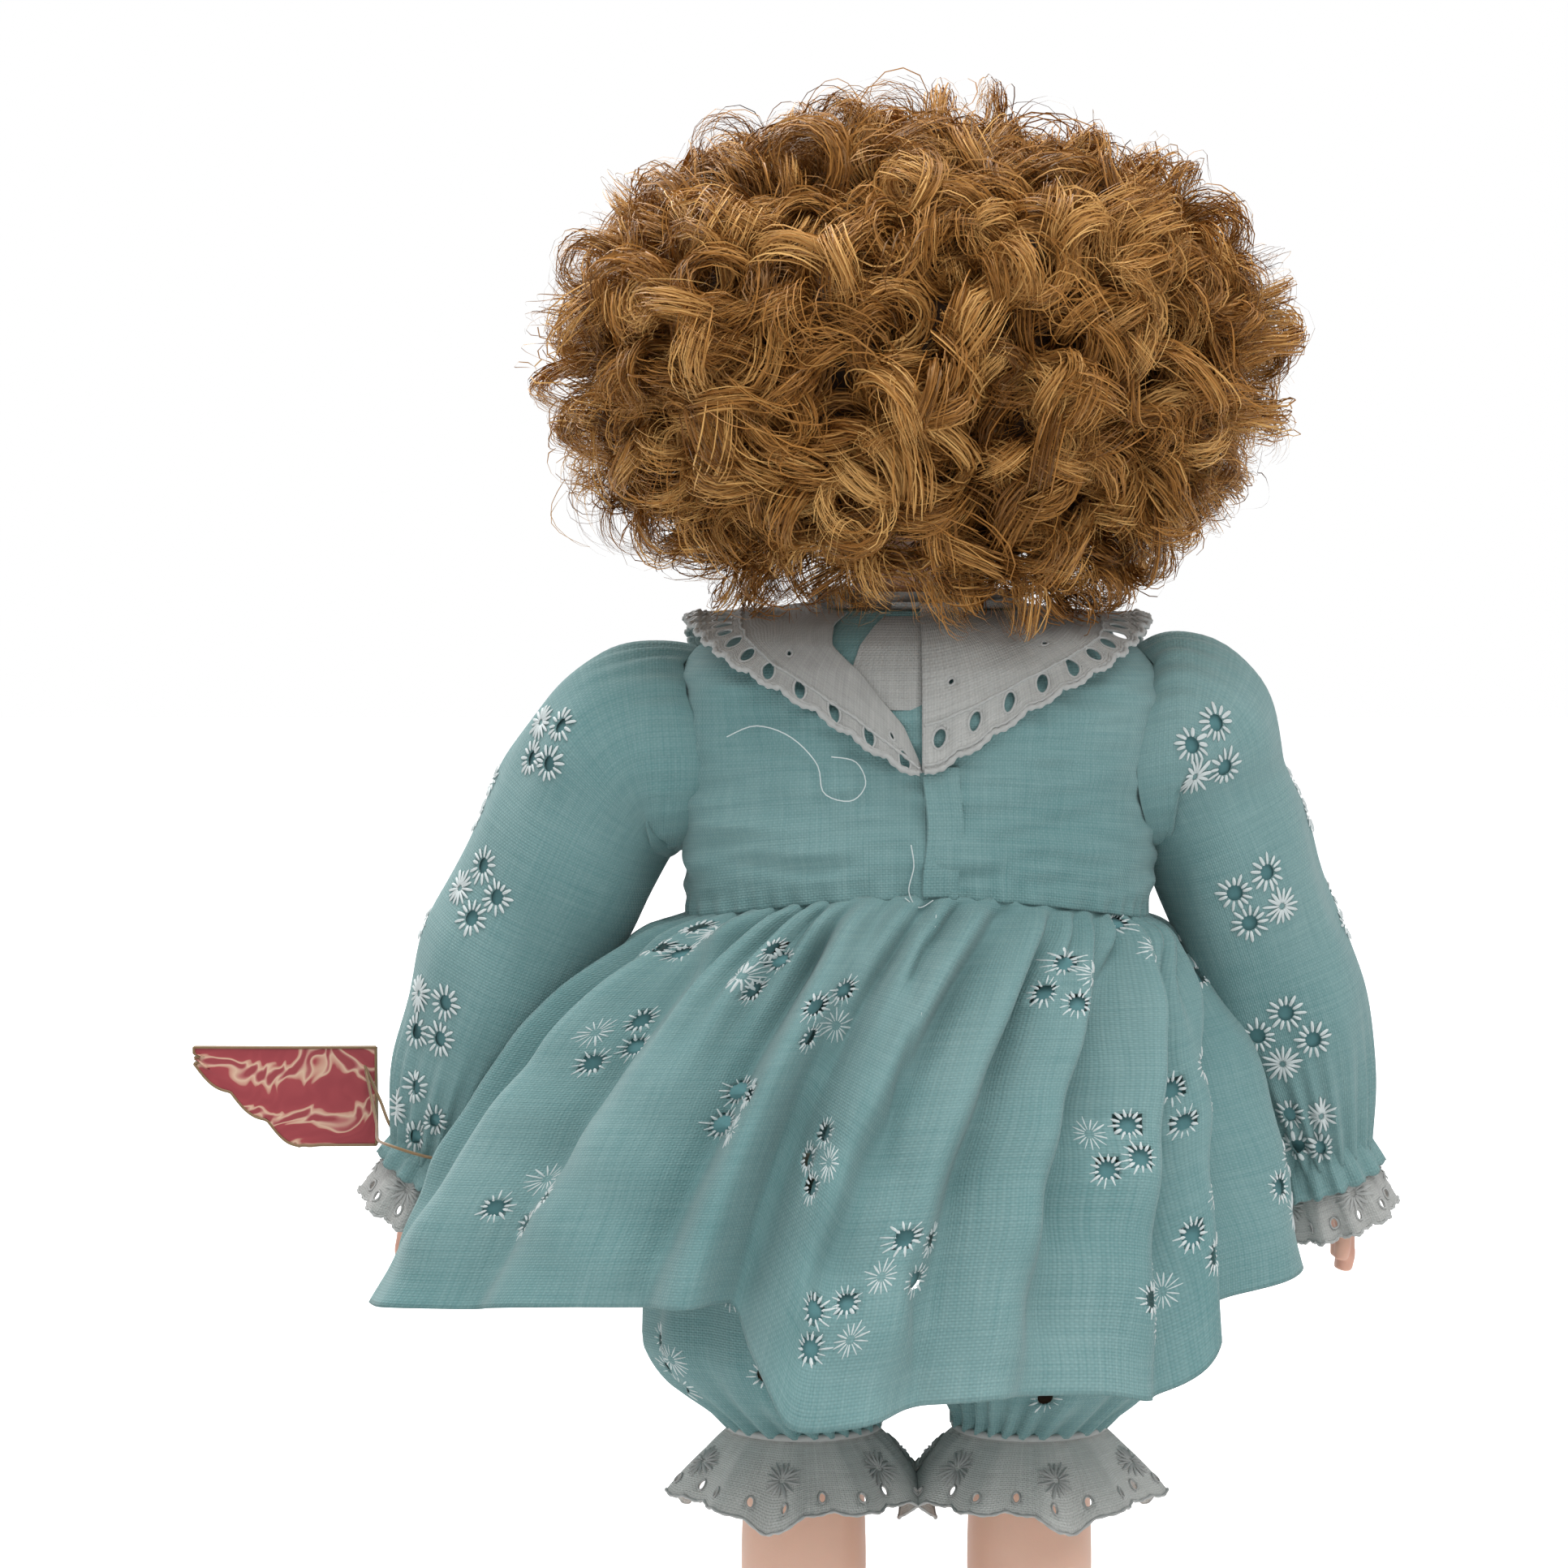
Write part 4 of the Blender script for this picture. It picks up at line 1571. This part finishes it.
def hang_card():
    """The folded printed tag: two leaves joined along the top, with a scalloped lower corner."""
    for leaf, y, open_by, node in (("front", -38.0, 0.0, ["hang_card"]), ("back", -38.9, 2.2, ())):
        def leaf_shape(u, v):
            u, v = np.asarray(u, float), np.asarray(v, float)
            scallop = 1.5 * np.abs(np.sin(5 * math.pi * u)) * smooth(u, 0.3, 0.5)
            low = 167.4 + np.maximum(0, u - 0.42) * 31 - scallop
            end = 158 - 1.2 * np.abs(np.sin(3 * math.pi * v)) * smooth(v, 0.3, 0.5)
            deep = y - open_by * v + 0.5 * np.sin(3 * u)
            return np.stack([118 + (end - 118) * u, deep, 189 + (low - 189) * v], -1)

        piece = cloth(f"hang_card_{leaf}", leaf_shape, (80, 44), (40, 22))
        thicken(piece, 0.5)
        finish_piece(piece, CARD, "left_arm", node)
        t = np.linspace(0, 1, 60)
        rim = np.concatenate([leaf_shape(t, 0 * t), leaf_shape(0 * t + 1, t), leaf_shape(1 - t, 0 * t + 1),
                              leaf_shape(0 * t, 1 - t)])
        edge = tube_set(f"hang_card_{leaf}_edge", [rim], [0.33], 5)
        finish_piece(edge, CARD_EDGE, "left_arm")


    loop = along([(120.5, -38.2, 185), (117, -35, 178), (113, -30, 171), (104, -28.2, 166), (93, -23, 165),
                  (89.5, -14, 166), (94, -5.5, 168), (104, -2.5, 170), (112.8, -6.5, 172), (116, -16, 172),
                  (117, -26, 174), (119, -34, 180), (120.5, -38.9, 185)], np.linspace(0, 1, 90))
    string = tube_set("hang_card_string", [loop], [0.35], 6)
    finish_piece(string, CARD_EDGE, "left_arm")


CARD = card_finish()
CARD_EDGE = thread_finish("card_gold_edge", colour(132, 104, 66), 0.4)


# ---------------------------------------------------------------- studio

AMBIENT = 0.5


def studio():
    scene = bpy.context.scene
    scene.view_settings.view_transform = "Standard"
    world = bpy.data.worlds.new("White studio")
    scene.world = world
    world.use_nodes = True
    world.node_tree.nodes["Background"].inputs[0].default_value = (1, 1, 1, 1)
    world.node_tree.nodes["Background"].inputs[1].default_value = AMBIENT
    seen = world.node_tree.nodes.new("ShaderNodeLightPath")
    level = world.node_tree.nodes.new("ShaderNodeMapRange")
    level.inputs["To Min"].default_value = AMBIENT
    level.inputs["To Max"].default_value = 1.0
    world.node_tree.links.new(seen.outputs["Is Camera Ray"], level.inputs["Value"])
    world.node_tree.links.new(level.outputs[0], world.node_tree.nodes["Background"].inputs[1])
    floor = mesh_of("studio_floor", np.array([(-4e3, -4e3, -0.5), (4e3, -4e3, -0.5), (4e3, 4e3, -0.5),
                                              (-4e3, 4e3, -0.5)]), np.array([[0, 1, 2, 3]]))
    paper, nodes, links, shader = new_material("pale_floor")
    shader.inputs["Base Color"].default_value = (0.8, 0.8, 0.8, 1)
    shader.inputs["Emission Color"].default_value = (1, 1, 1, 1)
    glow = nodes.new("ShaderNodeLightPath")
    bright = math_node(nodes, links, "MULTIPLY", glow.outputs["Is Camera Ray"], 0.75)
    links.new(bright, shader.inputs["Emission Strength"])
    shader.inputs["Roughness"].default_value = 0.9
    floor.data.materials.append(paper)
    floor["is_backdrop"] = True
    for name, place, aim, size, power in (
            ("key_light", (-0.5, 1.1, 1.5), (0, 0, 0.28), 1.2, 13),
            ("fill_light", (0.7, -1.2, 1.3), (0, 0, 0.25), 1.4, 24),
            ("top_light", (0.1, 0.2, 1.5), (0, 0, 0.2), 0.9, 12)):
        lamp = bpy.data.lights.new(name, "AREA")
        lamp.size = size
        lamp.energy = power
        holder = bpy.data.objects.new(name, lamp)
        scene.collection.objects.link(holder)
        holder.location = place
        holder.rotation_euler = (Vector(aim) - Vector(place)).to_track_quat("-Z", "Y").to_euler()


def camera():
    """Looks at the doll's back from a little above."""
    distance, rise, span, sensor = 1100.0, math.radians(4.5), 332.0, 36.0
    aim = spot(28.2, 0, 250.1)
    place = aim + Vector((0, math.cos(rise), math.sin(rise))) * distance / 1000
    lens = bpy.data.cameras.new("view_camera")
    lens.sensor_width = sensor
    lens.lens = sensor * distance / span
    lens.clip_end = 20
    holder = bpy.data.objects.new("view_camera", lens)
    bpy.context.scene.collection.objects.link(holder)
    holder.location = place
    holder.rotation_euler = (aim - place).to_track_quat("-Z", "Y").to_euler()
    bpy.context.scene.camera = holder


# ---------------------------------------------------------------- putting the doll together

SKIRT_BACK = (  # across and up, in mm, and the turn of each spray
    (47.4, 219.6, 10), (32.5, 215.1, 200), (19.3, 207.3, 60), (62.9, 198.9, 240), (37.4, 187.1, 95),
    (21.0, 177.8, 30),
    (79.6, 166.2, 300), (19.5, 146.4, 70), (-30.3, 212.3, 20), (-42.2, 220.3, 150), (-39.5, 180.1, 250),
    (-58.6, 189.4, 80), (-65.9, 163.9, 330), (-46.1, 150.1, 45), (3.0, 160.0, 190))
SLEEVE_BACK = {
    1: ((78.5, 259.7, 20), (93.0, 227.4, 60), (103.2, 201.1, 10), (107.4, 179.3, 50)),
    -1: ((60.9, 258.0, 200), (71.9, 226.6, 80), (77.9, 196.8, 150), (83.0, 176.0, 10)),
}
SKIRT_FRONT = [(0.54 + 0.083 * k + 0.04 * (row % 2), v, 25 * k + 70 * row)
               for row, v in enumerate((0.2, 0.5, 0.82)) for k in range(6)]
SLEEVE_FRONT = [(u, v, turn) for v, u, turn in (
    (0.36, 0.45, 30), (0.56, 0.55, 80), (0.76, 0.44, 10), (0.42, 0.3, 0), (0.64, 0.3, 40), (0.82, 0.68, 15))]


def on_the_back(shape, places, first, last):
    """Where on a sheet's back half, as shares, each place across and up lies."""
    u, v = np.meshgrid(np.linspace(first, last, 240), np.linspace(0.03, 0.97, 120))
    points = shape(u, v)
    shares = []
    for x, z, turn in places:
        gap = (points[..., 0] - x) ** 2 + (points[..., 2] - z) ** 2
        best = np.unravel_index(np.argmin(gap), gap.shape)
        shares.append((u[best] % 1, v[best], turn))
    return shares


def hole_backs(name, shape, holes, outward):
    """Small rounds of the same cloth as a lining, a little way behind each eyelet."""
    turn = np.linspace(0, TURN, 13)[:-1]
    points, faces = [], []
    for u, v, half_u, half_v in holes:
        _, _, across, down = surface_frame(shape, u, v)
        ring, normal, _, _ = surface_frame(shape, u + 1.5 * half_u * np.cos(turn) / across[0],
                                           np.clip(v + 1.5 * half_v * np.sin(turn) / down[0], 0, 1))
        base = sum(len(k) for k in points)
        points.append(ring - normal * outward * 0.9)
        faces.extend((base, base + k, base + k + 1) for k in range(1, 11))
    return mesh_of(name, np.concatenate(points), np.array(faces))


camera()
studio()
bodice()
skirt_flowers = flowers_at(skirt_shape, on_the_back(skirt_shape, SKIRT_BACK, 0.02, 0.48) + SKIRT_FRONT)
skirt(eyelet_holes(skirt_flowers))
finish_piece(hole_backs("skirt_eyelet_lining", skirt_shape, eyelet_holes(skirt_flowers), -1), AQUA_SHADE,
             "torso")
skirt_work = embroidery("skirt_embroidery", skirt_shape, skirt_flowers, -1, 90)
finish_piece(skirt_work, WHITE_THREAD, "torso")
for name, shape, side in (("left", LEFT_SLEEVE, 1), ("right", RIGHT_SLEEVE, -1)):
    back = [(x * side, z, turn) for x, z, turn in SLEEVE_BACK[side]]
    flowers = flowers_at(shape, on_the_back(shape, back, -0.24, 0.24) + SLEEVE_FRONT)
    lining = hole_backs(f"{name}_sleeve_eyelet_lining", shape, eyelet_holes(flowers), side)
    finish_piece(lining, AQUA_SHADE, None)
    spot(side * ARMHOLE_X, ARM_Y, ARM_Z)
    spot(side * SLEEVE_FREE_X, ARM_Y, ARM_Z)
    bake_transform(lining)
    sleeve(name, shape, side, eyelet_holes(flowers))
    work = embroidery(f"{name}_sleeve_embroidery", shape, flowers, side, 91)
    finish_piece(work, WHITE_THREAD, None)
    spot(side * ARMHOLE_X, ARM_Y, ARM_Z)
    spot(side * SLEEVE_FREE_X, ARM_Y, ARM_Z)
    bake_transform(work)
collar_half("left", 1, LEFT_COLLAR_TOP, 95)
collar_half("right", -1, RIGHT_COLLAR_TOP, 96)
neck_facing()
placket()
cuffs()
bloomers()
hands()
legs()
head()
hang_card()
wig()
dress_cad_nodes()

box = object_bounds()
[[list(corner) for corner in pair] for pair in (cad_box, box)]
